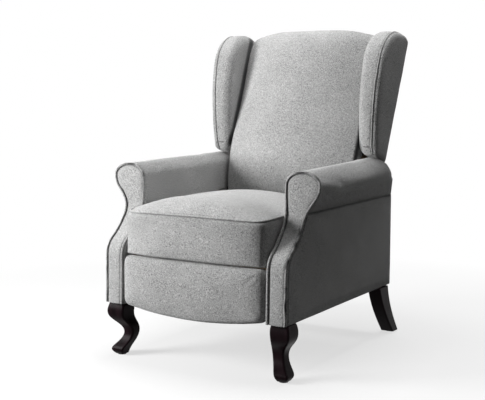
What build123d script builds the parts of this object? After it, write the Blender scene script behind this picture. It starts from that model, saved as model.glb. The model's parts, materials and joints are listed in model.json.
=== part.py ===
from build123d import *
import math
import os

# A wingback push-back recliner in millimetres. +Z is up and the chair faces -Y. The origin lies on
# the floor under the middle of the chair's width and depth. Left and right are the sitter's: left is +X.

# Body
SEAT_WIDTH = 492.0           # clear width between the arms
ARM_WIDTH = 64.0             # arm panel, inner face to outer face
LEG_HEIGHT = 163.0           # floor to the underside of the body
BODY_FRONT = -398.0          # foot of the arm fronts
BODY_DEPTH = 714.0           # arm front to the rear of the body
HINGE_HEIGHT = 425.0         # axis of the reclining back; seat, arms and footrest are placed from it
HINGE_BEFORE_REAR = 151.0    # hinge axis to the rear of the body
SEAM_ABOVE_HINGE = 35.0      # seam under the arm roll

# Arm front, an S curve: upright shin, round belly, hollow waist, neck under the roll
BELLY_SETBACK = 4.0
BELLY_BELOW_SEAM = 148.0
WAIST_SETBACK = 30.0
WAIST_BELOW_SEAM = 99.0
NECK_SETBACK = 110.0
FACING_DEPTH = 16.0          # padded facing on the arm front

# Arm roll
ROLL_FRONT_WIDTH = 112.0
ROLL_FRONT_RISE = 122.0      # above the seam
ROLL_REAR_WIDTH = 72.0
ROLL_REAR_RISE = 132.0
ROLL_OVERHANG = 0.0          # roll's front disc stands this far before the neck
ROLL_ROUND = 40.0            # height of its round top
ROLL_FLANK = (0.28, 0.476)   # where its outside turns straight: shares of the overhang and of the height
ARM_RAIL_WIDTH = 36.0
ARM_RAIL_HEIGHT = 40.0
ARM_RAIL_SETBACK = 14.0

# Arm build-up
INNER_PAD_THICKNESS = 4.0
PLYWOOD = 18.0
SIDE_PANEL_THICKNESS = 12.0
POST_DEPTH = 40.0
FRONT_POST_DROP = 5.0        # below the belly of the arm front
REAR_POST_SETBACK = 60.0     # rear of the body to the middle of the rear post
INNER_PAD_LIFT = 5.0         # above the seat frame
REAR_PANEL_THICKNESS = 18.0
REAR_PANEL_DROP = 1.0        # below the hinge axis
CROSS_RAIL_DEPTH = 20.0
CROSS_RAIL_HEIGHT = 60.0
CROSS_RAIL_LIFT = 12.0       # underside of the body to the underside of a cross rail
CROSS_RAIL_PLACES = (192.0, 50.0)   # before the rear of the body

# Legs
GLIDE_HEIGHT = 3.0
GLIDE_RADIUS = 13.0
LEG_BOLT_RADIUS = 4.0
LEG_BOLT_IN_LEG = 32.0
LEG_BOLT_IN_POST = 45.0
FRONT_LEG_SHIFT = 0.0        # outward from the post above
FRONT_LEG_SETBACK = 42.0     # arm front to the middle of the leg's top
KNEE_DROP = 36.0             # below the body
ANKLE_HEIGHT = 76.0
BALL_HEIGHT = 20.0           # fullest place of the foot
FRONT_LEG_TOP = 53.0
FRONT_LEG_KNEE = 60.0
FRONT_LEG_ANKLE = 38.0
FRONT_LEG_INSTEP = 40.0
FRONT_LEG_FOOT = 45.0
FRONT_LEG_SOLE = 31.0
KNEE_SWELL = 2.0             # outward along the leg's diagonal
ANKLE_TUCK = 30.0            # inward along the same diagonal
FOOT_KICK = 0.0              # outward along it again, at the sole
BALL_KICK = 2.0
LEG_EDGE_RADIUS = 6.0
REAR_LEG_SHIFT = 9.0         # outward from the post above
REAR_LEG_WIDTH = 44.0
REAR_LEG_TOP_DEPTH = 70.0
REAR_LEG_FOOT_DEPTH = 44.0
REAR_LEG_SWEEP = 86.0        # foot's distance behind the top
REAR_LEG_BEND = 1.5          # power of the sweep's curve
REAR_LEG_SHARES = (0.0, 0.4, 0.75, 1.0)   # sections, as shares of the way down
REAR_LEG_SPLAY = 6.0

# Back: lean, and its rear face at the height of the hinge
BACK_LEAN = 18.5
HINGE_TO_REAR_FACE = 64.6    # level distance from the hinge to the rear face of the back
BACK_HEIGHT = 563.0          # rear face, along the lean, above the hinge's level
BACK_GAP = 6.0               # between the back and each arm
OUTSIDE_BACK = 12.0
BACK_TIMBER = 28.0
POST_WIDTH = 30.0
BACK_DROP = 12.0             # posts below the hinge's level
BACK_RAIL_HEIGHTS = ((30.0, 75.0), (262.0, 302.0), (520.0, 560.0))
BACK_STRAP_HEIGHTS = (110.0, 185.0, 340.0, 430.0)
STRAP_WIDTH = 50.0
STRAP_THICKNESS = 2.0
CUSHION_SIDE_GAP = 1.8
OUTSIDE_BACK_DROP = 50.0     # outside back below the hinge's level
BACK_LIP = 2.0               # cushion's top lip, before the rear face
BACK_SHOULDER = 14.0
# Cushion sections, placed along the lean from the hinge's level and from the top of the rear face: place,
# side inset, and the shoulder's and the crown's distance before the frame
BACK_LOW_STATIONS = (
    (8.0, 10.0, 44.0, 56.0),
    (60.0, 5.0, 55.0, 90.0),
    (141.0, 1.0, 62.0, 108.0),
    (250.0, 2.0, 56.0, 109.0),
    (366.0, 4.0, 50.0, 106.0),
)
BACK_TOP_STATIONS = (
    (-100.0, 2.0, 47.0, 99.0),
    (-26.0, 1.0, 43.0, 84.0),
    (6.0, 4.0, 33.0, 63.0),
    (21.0, 16.0, 22.0, 37.0),
)

# Wings, as points of distance before the rear face and height along the lean
WING_SWING_RADIUS = 177.0    # bottom edge of the wing, about the hinge
WING_CLEARANCE = 5.0         # between that edge and the arm under it
WING_NECK = 78.0             # where the bottom edge turns up into the front edge
WING_CHIN = (105.0, 180.0)
WING_CHEEK = (148.0, 293.0)
WING_BROW = (171.0, 448.0)
WING_SHOULDER = (147.0, 523.0)
WING_CROWN = (80.0, 570.0)
WING_BROW_ROUND = (5.0, 3.0)    # outward of the middle between brow and shoulder
WING_TOP_ROUND = (4.0, 6.0)     # outward of the middle between shoulder and crown
WING_CROWN_ROUND = 3.0          # above the crown, on the way to the rear face
WING_LOW_WIDTH = 67.0        # thickness over its padding at its bottom
WING_HIGH_WIDTH = 86.0       # thickness over its padding at its top
WING_LOW_RISE = 170.0        # above the hinge, where it has the low width
WING_HIGH_RISE = 565.0       # above the hinge, where it has the high width
WING_ROUND = 12.0            # outer edge
WING_INNER_ROUND = 30.0      # inner edge, towards the sitter
WING_BOARD = 12.0
WING_BOARD_INSET = 22.0
WING_BOARD_DEPTH = 18.0      # inner padding of the wing
WING_TENON = (220.0, 480.0)  # stretch where the wing board reaches the rear face
HINGE_PLATE_THICKNESS = 4.0
HINGE_PIN_RADIUS = 6.0
HINGE_PIN_HEAD = 9.0
HINGE_EYE_RADIUS = 16.0
HINGE_PLATE_REACH = 32.0     # before and behind the hinge axis
BRACKET_TOP = 130.0          # along the lean above the hinge's level
GUSSET_TOP = 78.0            # along the lean above the hinge's level

# Seat
DECK_BELOW_HINGE = 35.0      # top of the seat frame
SEAT_TIMBER = 28.0
SEAT_RAIL_WIDTH = 26.0
SEAT_FRAME_GAP = 24.0        # arm to seat frame
SEAT_FRAME_SETBACK = 26.0    # arm front to the front rail
SEAT_FRAME_TAIL = 14.0       # frame behind the cushion's rear edge, under the lip
SEAT_SIDE_GAP = 4.0          # cushion to arm
SEAT_TO_HINGE = 29.0         # rear of the cushion to the hinge axis
SEAT_BORDER_DROP = 71.0      # border's bottom edge below the deck
SEAT_CROWN_RISE = 98.0       # above the deck
SEAT_SHOULDER = 14.0
# Cushion sections, placed from the arm front, the middle and the rear of the seat: place, side inset,
# lift of the border's underside, and drops of the shoulder and the crown below the full crown
SEAT_FRONT_STATIONS = (
    (-14.0, 34.0, 12.0, 60.0, 52.0),
    (-4.0, 9.0, 2.0, 43.0, 31.0),
    (18.0, 1.0, 0.0, 36.0, 18.0),
    (98.0, 0.0, 0.0, 31.0, 6.0),
)
SEAT_MIDDLE_STATION = (12.0, 0.0, 0.0, 28.0, 0.0)
SEAT_REAR_STATIONS = (
    (-96.0, 0.0, 0.0, 30.0, 4.0),
    (-26.0, 1.0, 0.0, 36.0, 18.0),
    (0.0, 4.0, 0.0, 48.0, 36.0),
)
SEAT_LIP_LENGTH = 63.0       # low lip of the cushion that runs back under the back cushion
SEAT_LIP_HEIGHT = 40.0
SEAT_LIP_INSET = 37.0        # narrower than the cushion on each side
SEAT_STRAPS = 5
SEAT_TRAVEL = 30.0           # glide to the front
SLIDE_HEIGHT = 24.0
SLIDE_DEPTH = 16.0
SLIDE_WALL = 2.0
SLIDE_LENGTH = 447.0
SLIDE_SETBACK = 78.0
SLIDE_CLEARANCE = 0.3
SLIDE_END_ROOM = 3.0         # runner's end to the rail's end at full glide

# Footrest
FOOTREST_TOP_GAP = 6.0       # under the seat border
FOOTREST_BOTTOM = 164.0
FOOTREST_ARCH = 20.0         # bottom edge hangs lower in the middle
FOOTREST_GAP = 6.0           # between the panel and each arm
FOOTREST_CORNER = 16.0
# Pad sections: distance before the board, side inset, and tuck of the top and bottom edges
FOOTREST_STATIONS = ((0.0, 1.0, 1.0), (8.0, 0.0, 0.0), (22.0, 0.0, 0.0), (36.0, 7.0, 5.0), (43.0, 26.0, 15.0))
BOARD_SETBACK = 46.0         # arm front to the rear face of the board
BOARD_THICKNESS = 15.0
BOARD_MARGIN = 14.0

# Footrest linkage on each side
DRIVE_PIVOT_SETBACK = 173.0
DRIVE_PIVOT_DROP = 16.0      # below the top of the mechanism plate
DRIVE_LENGTH = 210.0
DRIVE_FOLD = 50.0            # folded drive link hangs this far past level, to the rear
REAR_LINK_SPACING = 45.0     # along the carrier link
CONTROL_SPACING = 55.0       # along the drive link
FOOT_PIVOT_SETBACK = 56.0    # footrest pivot behind the board
FOOT_PIVOT_DROP = 70.0       # below the top of the footrest
LINK_WIDTH = 18.0
LINK_THICKNESS = 4.0
LINK_GAP = 1.0
PIN_RADIUS = 4.0
PIN_CLEARANCE = 0.05
OPEN_PIN_CLEARANCE = 0.3
PIN_HEAD_RADIUS = 7.0
TORQUE_TUBE_RADIUS = 10.0
TORQUE_TUBE_WALL = 2.0
TORQUE_TUBE_PLACE = 40.0     # along the drive link from its pivot
PLATE_GAP = 4.0              # under the seat frame
PLATE_DEPTH = 22.0
PLATE_EYE_WIDTH = 36.0       # round the two pivots of a plate
PLATE_FRONT_SETBACK = 58.0
PLATE_LENGTH = 400.0
PLATE_BOLT_INSET = 12.0
BOLT_RADIUS = 3.0
BOLT_HEAD_RADIUS = 6.0
BOLT_HEAD = 3.5
BOLT_LENGTH = 20.0
FOOT_BRACKET_FLANGE = 32.0
FOOT_BRACKET_ARM = 22.0      # width between its two pivots
FOOT_BRACKET_BELOW = 28.0    # flange below the footrest pivot
FOOT_BRACKET_ABOVE = 57.0    # flange above the footrest pivot

# Heights that follow from the sizes
ARM_SEAM_HEIGHT = HINGE_HEIGHT + SEAM_ABOVE_HINGE
BELLY_HEIGHT = ARM_SEAM_HEIGHT - BELLY_BELOW_SEAM
WAIST_HEIGHT = ARM_SEAM_HEIGHT - WAIST_BELOW_SEAM
ROLL_FRONT_TOP = ARM_SEAM_HEIGHT + ROLL_FRONT_RISE
ROLL_REAR_TOP = ARM_SEAM_HEIGHT + ROLL_REAR_RISE
FRONT_POST_TOP = BELLY_HEIGHT - FRONT_POST_DROP
REAR_PANEL_TOP = HINGE_HEIGHT - REAR_PANEL_DROP
SEAT_DECK = HINGE_HEIGHT - DECK_BELOW_HINGE
INNER_PAD_BOTTOM = SEAT_DECK + INNER_PAD_LIFT
SEAT_BORDER_BOTTOM = SEAT_DECK - SEAT_BORDER_DROP
SEAT_CROWN = SEAT_DECK + SEAT_CROWN_RISE
CUSHION_BOTTOM = SEAT_DECK + STRAP_THICKNESS
FOOTREST_TOP = SEAT_BORDER_BOTTOM - FOOTREST_TOP_GAP
PLATE_TOP = SEAT_DECK - SEAT_TIMBER - PLATE_GAP
DRIVE_PIVOT_HEIGHT = PLATE_TOP - DRIVE_PIVOT_DROP
FOOT_PIVOT_HEIGHT = FOOTREST_TOP - FOOT_PIVOT_DROP

# Planes and places that follow from the sizes
ARM_IN = SEAT_WIDTH / 2
ARM_OUT = ARM_IN + ARM_WIDTH
PLY_IN = ARM_IN + INNER_PAD_THICKNESS
PLY_OUT = PLY_IN + PLYWOOD
PANEL_IN = ARM_OUT - SIDE_PANEL_THICKNESS
BODY_REAR = BODY_FRONT + BODY_DEPTH
FACING_BACK = BODY_FRONT + FACING_DEPTH
ROLL_FRONT = BODY_FRONT + NECK_SETBACK - ROLL_OVERHANG
HINGE = (BODY_REAR - HINGE_BEFORE_REAR, HINGE_HEIGHT)
LEAN_SIN = math.sin(math.radians(BACK_LEAN))
LEAN_COS = math.cos(math.radians(BACK_LEAN))
BACK_FOOT_Y = HINGE[0] + HINGE_TO_REAR_FACE
BACK_IN = ARM_IN - BACK_GAP
WING_OUTER_LOW = BACK_IN + WING_LOW_WIDTH
WING_OUTER_HIGH = BACK_IN + WING_HIGH_WIDTH
FRAME_FRONT = OUTSIDE_BACK + BACK_TIMBER
POST_X = (PLY_OUT + PANEL_IN) / 2
FRONT_LEG_X = POST_X + FRONT_LEG_SHIFT
REAR_LEG_X = POST_X + REAR_LEG_SHIFT
POST_YS = (FACING_BACK + POST_DEPTH / 2, BODY_REAR - REAR_POST_SETBACK)
BOARD_BACK = BODY_FRONT + BOARD_SETBACK
BOARD_FRONT = BOARD_BACK - BOARD_THICKNESS
SEAT_HALF = ARM_IN - SEAT_SIDE_GAP
SEAT_REAR = HINGE[0] - SEAT_TO_HINGE
SEAT_FRAME_FRONT = BODY_FRONT + SEAT_FRAME_SETBACK
SEAT_FRAME_REAR = SEAT_REAR + SEAT_FRAME_TAIL
LINK_PITCH = LINK_THICKNESS + LINK_GAP
PLATE_X = (PLY_IN - LINK_THICKNESS, PLY_IN)
DRIVE_X = (PLATE_X[0] - LINK_PITCH, PLATE_X[0] - LINK_GAP)
CARRIER_X = (DRIVE_X[0] - LINK_PITCH, DRIVE_X[0] - LINK_GAP)
BRACKET_X = (CARRIER_X[0] - LINK_PITCH, CARRIER_X[0] - LINK_GAP)


def polar(start, length, degrees):
    """Point of the side view at a length and angle from start; 0 is level to the front, 90 is up."""
    turn = math.radians(degrees)
    return (start[0] - length * math.cos(turn), start[1] + length * math.sin(turn))


def moved(point, step):
    """Point of the side view moved by a step."""
    return (point[0] + step[0], point[1] + step[1])


# Pivots of the folded linkage in the side view (y, z): two equal parallelograms
FOLDED = 180.0 + DRIVE_FOLD
DRIVE_PIVOT = (BODY_FRONT + DRIVE_PIVOT_SETBACK, DRIVE_PIVOT_HEIGHT)
KNEE_PIVOT = polar(DRIVE_PIVOT, DRIVE_LENGTH, FOLDED)
FOOT_PIVOT = (BOARD_BACK + FOOT_PIVOT_SETBACK, FOOT_PIVOT_HEIGHT)
CARRIER_RUN = (FOOT_PIVOT[0] - KNEE_PIVOT[0], FOOT_PIVOT[1] - KNEE_PIVOT[1])
CARRIER_ANGLE = math.degrees(math.atan2(CARRIER_RUN[1], -CARRIER_RUN[0]))
REAR_PIVOT = polar(DRIVE_PIVOT, -REAR_LINK_SPACING, CARRIER_ANGLE)
TAIL_PIVOT = polar(KNEE_PIVOT, -REAR_LINK_SPACING, CARRIER_ANGLE)
CONTROL_PIVOT = polar(KNEE_PIVOT, CONTROL_SPACING, DRIVE_FOLD)
TILT_PIVOT = moved(CONTROL_PIVOT, CARRIER_RUN)
TUBE_PLACE = polar(DRIVE_PIVOT, TORQUE_TUBE_PLACE, FOLDED)


def block(x, y, z):
    """Box between pairs of limits along each axis."""
    centre = Pos((x[0] + x[1]) / 2, (y[0] + y[1]) / 2, (z[0] + z[1]) / 2)
    return centre * Box(x[1] - x[0], y[1] - y[0], z[1] - z[0])


def slab(face, x):
    """Side-view face (y, z) made solid between two x limits."""
    return extrude(Plane.YZ.offset(x[0]) * face, x[1] - x[0])


def rod(point, radius, x):
    """Round bar across the chair at a point of the side view."""
    return slab(Pos(*point) * Circle(radius), x)


def back_point(forward, height):
    """Side-view point at a distance before the back's rear face and a height along the lean."""
    y = BACK_FOOT_Y + height * LEAN_SIN - forward * LEAN_COS
    return (y, HINGE_HEIGHT + height * LEAN_COS + forward * LEAN_SIN)


def back_plane(height):
    """Plane across the back at a height along the lean; its local y points forward."""
    y, z = back_point(0, height)
    return Plane(origin=(0, y, z), x_dir=(1, 0, 0), z_dir=(0, -LEAN_SIN, -LEAN_COS))


def back_block(x, forward, height):
    """Box along the lean of the back."""
    middle = Pos((x[0] + x[1]) / 2, (forward[0] + forward[1]) / 2, 0)
    face = middle * Rectangle(x[1] - x[0], forward[1] - forward[0])
    return extrude(back_plane(height[0]) * face, -(height[1] - height[0]))


def front_plane(y):
    """Upright plane across the chair; its local y points up."""
    return Plane(origin=(0, y, 0), x_dir=(1, 0, 0), z_dir=(0, -1, 0))


def quarter(start, end, corner):
    """Rounded corner from start to end inside a square corner point."""
    share = 1 - math.sqrt(0.5)
    mid = [corner[i] + share * (start[i] + end[i] - 2 * corner[i]) for i in (0, 1)]
    return ThreePointArc(start, tuple(mid), end)


def crowned(half_width, low, side, crown, shoulder):
    """Cushion section: flat underside, upright sides, round shoulders and a crowned top."""
    inner = half_width - shoulder
    drop = side - shoulder
    edges = [
        Line((-half_width, low), (half_width, low)),
        Line((half_width, low), (half_width, drop)),
        quarter((half_width, drop), (inner, side), (half_width, side)),
        ThreePointArc((inner, side), (0, crown), (-inner, side)),
        quarter((-inner, side), (-half_width, drop), (-half_width, side)),
        Line((-half_width, drop), (-half_width, low)),
    ]
    return make_face(edges)


def mirrored(shape):
    """The same piece on the right side of the chair."""
    return mirror(shape, Plane.YZ)


def save(node, *pieces):
    """Write one node, with all its separate solids."""
    solids = [solid for piece in pieces for solid in piece.solids()]
    shape = solids[0] if len(solids) == 1 else Compound(solids)
    export_step(shape, os.path.join("parts", node + ".step"))


def save_pair(node, piece):
    """Write a left piece and its mirror image as two nodes."""
    save(node + "_left", piece)
    save(node + "_right", mirrored(piece))


def save_group(node, pieces):
    """Write left pieces and their mirror images as one node."""
    save(node, *pieces, *[mirrored(piece) for piece in pieces])


def arm_side(setback, rear):
    """Side view of the arm below its roll, with the S curve of its front moved back by setback."""
    front = BODY_FRONT + setback
    foot = (front, LEG_HEIGHT)
    belly = (front + BELLY_SETBACK, BELLY_HEIGHT)
    waist = (front + WAIST_SETBACK, WAIST_HEIGHT)
    neck = (front + NECK_SETBACK, ARM_SEAM_HEIGHT)
    shin = Line(foot, belly)
    lower = TangentArc(belly, waist, tangent=shin % 1)
    upper = TangentArc(waist, neck, tangent=lower % 1)
    rest = Polyline(neck, (rear, ARM_SEAM_HEIGHT), (rear, LEG_HEIGHT), foot)
    return make_face([shin, lower, upper, *rest.edges()])


def roll_section(width, top):
    """Section of the arm roll: upright inside, round top, tapered in to the seam outside."""
    low = top - ROLL_ROUND
    outer = ARM_IN + width
    middle = (ARM_IN + width / 2, low)
    overhang, height = outer - ARM_OUT, low - ARM_SEAM_HEIGHT
    flank = (outer - ROLL_FLANK[0] * overhang, low - ROLL_FLANK[1] * height)
    edges = [
        Line((ARM_IN, ARM_SEAM_HEIGHT), (ARM_IN, low)),
        EllipticalCenterArc(middle, width / 2, ROLL_ROUND, start_angle=90, arc_size=90),
        EllipticalCenterArc(middle, width / 2, ROLL_ROUND, start_angle=0, arc_size=90),
        TangentArc((outer, low), flank, tangent=(0, -1)),
        Line(flank, (ARM_OUT, ARM_SEAM_HEIGHT)),
        Line((ARM_OUT, ARM_SEAM_HEIGHT), (ARM_IN, ARM_SEAM_HEIGHT)),
    ]
    return make_face(edges)


def build_arms():
    """Arm frames, panels, facings, pads and rolls."""
    ply = slab(arm_side(FACING_DEPTH, BODY_REAR - SIDE_PANEL_THICKNESS), (PLY_IN, PLY_OUT))
    for y in bolt_places():
        ply -= rod((y, bolt_height()), BOLT_RADIUS, (PLY_IN, PLY_IN + BOLT_LENGTH))
    ply -= rod(HINGE, HINGE_PIN_RADIUS, (PLY_IN, PLY_OUT))
    save_pair("arm_frame", ply)

    facing = slab(arm_side(0, BODY_REAR), (ARM_IN, ARM_OUT))
    facing -= slab(arm_side(FACING_DEPTH, BODY_REAR), (ARM_IN, ARM_OUT))
    save_pair("arm_front", facing)

    panel = slab(arm_side(FACING_DEPTH, BODY_REAR), (PANEL_IN, ARM_OUT))
    rear = (BODY_REAR - SIDE_PANEL_THICKNESS, BODY_REAR)
    panel += block((PLY_IN, ARM_OUT), rear, (LEG_HEIGHT, ARM_SEAM_HEIGHT))
    save_pair("side_panel", panel)

    hinge_front = HINGE[0] - HINGE_PLATE_REACH
    pad = slab(arm_side(FACING_DEPTH, hinge_front), (ARM_IN, PLY_IN))
    pad -= block((ARM_IN, PLY_IN), (BODY_FRONT, BODY_REAR), (LEG_HEIGHT, INNER_PAD_BOTTOM))
    save_pair("inner_arm_pad", pad)

    cavity = slab(arm_side(FACING_DEPTH, BODY_REAR), (PLY_OUT, PANEL_IN))
    posts = []
    for y, top in zip(POST_YS, (FRONT_POST_TOP, ARM_SEAM_HEIGHT)):
        depth = (y - POST_DEPTH / 2, y + POST_DEPTH / 2)
        post = block((PLY_OUT, PANEL_IN), depth, (LEG_HEIGHT, top)) & cavity
        bolt = Pos(POST_X, y, LEG_HEIGHT) * Cylinder(LEG_BOLT_RADIUS, 2 * LEG_BOLT_IN_POST)
        posts.append(post - bolt)
    save_group("arm_posts", posts)

    rail_x = (POST_X - ARM_RAIL_WIDTH / 2, POST_X + ARM_RAIL_WIDTH / 2)
    rail_y = (ROLL_FRONT + ARM_RAIL_SETBACK, BODY_REAR - SIDE_PANEL_THICKNESS)
    rail = block(rail_x, rail_y, (ARM_SEAM_HEIGHT, ARM_SEAM_HEIGHT + ARM_RAIL_HEIGHT))
    save_pair("arm_rail", rail)

    front = front_plane(ROLL_FRONT) * roll_section(ROLL_FRONT_WIDTH, ROLL_FRONT_TOP)
    back = front_plane(BODY_REAR) * roll_section(ROLL_REAR_WIDTH, ROLL_REAR_TOP)
    roll = loft([front, back]) - rail
    reach = WING_SWING_RADIUS - WING_CLEARANCE
    across = (ARM_IN - BACK_GAP, ARM_IN + ROLL_FRONT_WIDTH)
    sweep = block(across, (HINGE[0], BODY_REAR + reach), (HINGE[1], HINGE[1] + 2 * reach))
    roll -= sweep - rod(HINGE, reach, across)
    save_pair("arm_roll", roll)


def build_body():
    """Rear panel and cross rails between the arms."""
    across = (-PLY_IN, PLY_IN)
    deep = (BODY_REAR - REAR_PANEL_THICKNESS, BODY_REAR)
    save("rear_panel", block(across, deep, (LEG_HEIGHT, REAR_PANEL_TOP)))
    low = LEG_HEIGHT + CROSS_RAIL_LIFT
    rails = []
    for place in CROSS_RAIL_PLACES:
        y = BODY_REAR - place
        rails.append(block(across, (y, y + CROSS_RAIL_DEPTH), (low, low + CROSS_RAIL_HEIGHT)))
    save("cross_rails", *rails)


def leg_section(x, y, z, width, depth):
    """Rounded square across a leg."""
    return Pos(x, y, z) * RectangleRounded(width, depth, LEG_EDGE_RADIUS)


def build_legs():
    """Cabriole front legs, sabre rear legs, glides and hanger bolts."""
    front_y = BODY_FRONT + FRONT_LEG_SETBACK
    knee = LEG_HEIGHT - KNEE_DROP
    shin = (knee + ANKLE_HEIGHT) / 2
    instep = (ANKLE_HEIGHT + GLIDE_HEIGHT) / 2
    stations = [
        (LEG_HEIGHT, FRONT_LEG_TOP, 0),
        (knee, FRONT_LEG_KNEE, KNEE_SWELL),
        (shin, (FRONT_LEG_KNEE + FRONT_LEG_ANKLE) / 2, (KNEE_SWELL - ANKLE_TUCK) / 2),
        (ANKLE_HEIGHT, FRONT_LEG_ANKLE, -ANKLE_TUCK),
        (instep, FRONT_LEG_INSTEP, (FOOT_KICK - ANKLE_TUCK) / 2),
        (BALL_HEIGHT, FRONT_LEG_FOOT, BALL_KICK),
        (GLIDE_HEIGHT, FRONT_LEG_SOLE, FOOT_KICK),
    ]
    sections = []
    for z, size, out in stations:
        step = out * math.sqrt(0.5)
        sections.append(leg_section(FRONT_LEG_X + step, front_y - step, z, size, size))
    front_leg = loft(sections)

    rear_y = POST_YS[1]
    rear_sections = []
    for share in REAR_LEG_SHARES:
        z = LEG_HEIGHT + share * (GLIDE_HEIGHT - LEG_HEIGHT)
        depth = REAR_LEG_TOP_DEPTH + share * (REAR_LEG_FOOT_DEPTH - REAR_LEG_TOP_DEPTH)
        y = rear_y + REAR_LEG_SWEEP * share ** REAR_LEG_BEND
        x = REAR_LEG_X + REAR_LEG_SPLAY * share
        rear_sections.append(leg_section(x, y, z, REAR_LEG_WIDTH, depth))
    rear_leg = loft(rear_sections)

    standing = (Align.CENTER, Align.CENTER, Align.MIN)
    bolts = []
    legs = []
    for leg, y in zip((front_leg, rear_leg), POST_YS):
        place = Pos(POST_X, y, LEG_HEIGHT - LEG_BOLT_IN_LEG)
        length = LEG_BOLT_IN_LEG + LEG_BOLT_IN_POST
        bolt = place * Cylinder(LEG_BOLT_RADIUS, length, align=standing)
        bolts.append(bolt)
        legs.append(leg - bolt)
    save_pair("front_leg", legs[0])
    save_pair("rear_leg", legs[1])
    save_group("leg_bolts", bolts)

    kick = FOOT_KICK * math.sqrt(0.5)
    feet = [
        (FRONT_LEG_X + kick, front_y - kick),
        (REAR_LEG_X + REAR_LEG_SPLAY, rear_y + REAR_LEG_SWEEP),
    ]
    glide = Cylinder(GLIDE_RADIUS, GLIDE_HEIGHT, align=standing)
    save_group("leg_glides", [Pos(x, y, 0) * glide for x, y in feet])


def strip(start, end, width):
    """Flat bar with round ends between two points of the side view."""
    run = (end[0] - start[0], end[1] - start[1])
    middle = Pos((start[0] + end[0]) / 2, (start[1] + end[1]) / 2)
    turn = math.degrees(math.atan2(run[1], run[0]))
    return middle * SlotCenterToCenter(math.hypot(*run), width, rotation=turn)


def link(start, end, x, holes):
    """Linkage bar between two pivots, with holes as (point, radius)."""
    bar = slab(strip(start, end, LINK_WIDTH), x)
    for point, radius in holes:
        bar -= rod(point, radius, x)
    return bar


def bolt_places():
    """Where each mechanism plate is bolted to its arm frame, front to rear."""
    front = BODY_FRONT + PLATE_FRONT_SETBACK + PLATE_BOLT_INSET
    run = PLATE_LENGTH - 2 * PLATE_BOLT_INSET
    return (front, front + run / 2, front + run)


def bolt_height():
    """Height of the mechanism bolts."""
    return PLATE_TOP - PLATE_DEPTH / 2


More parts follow.
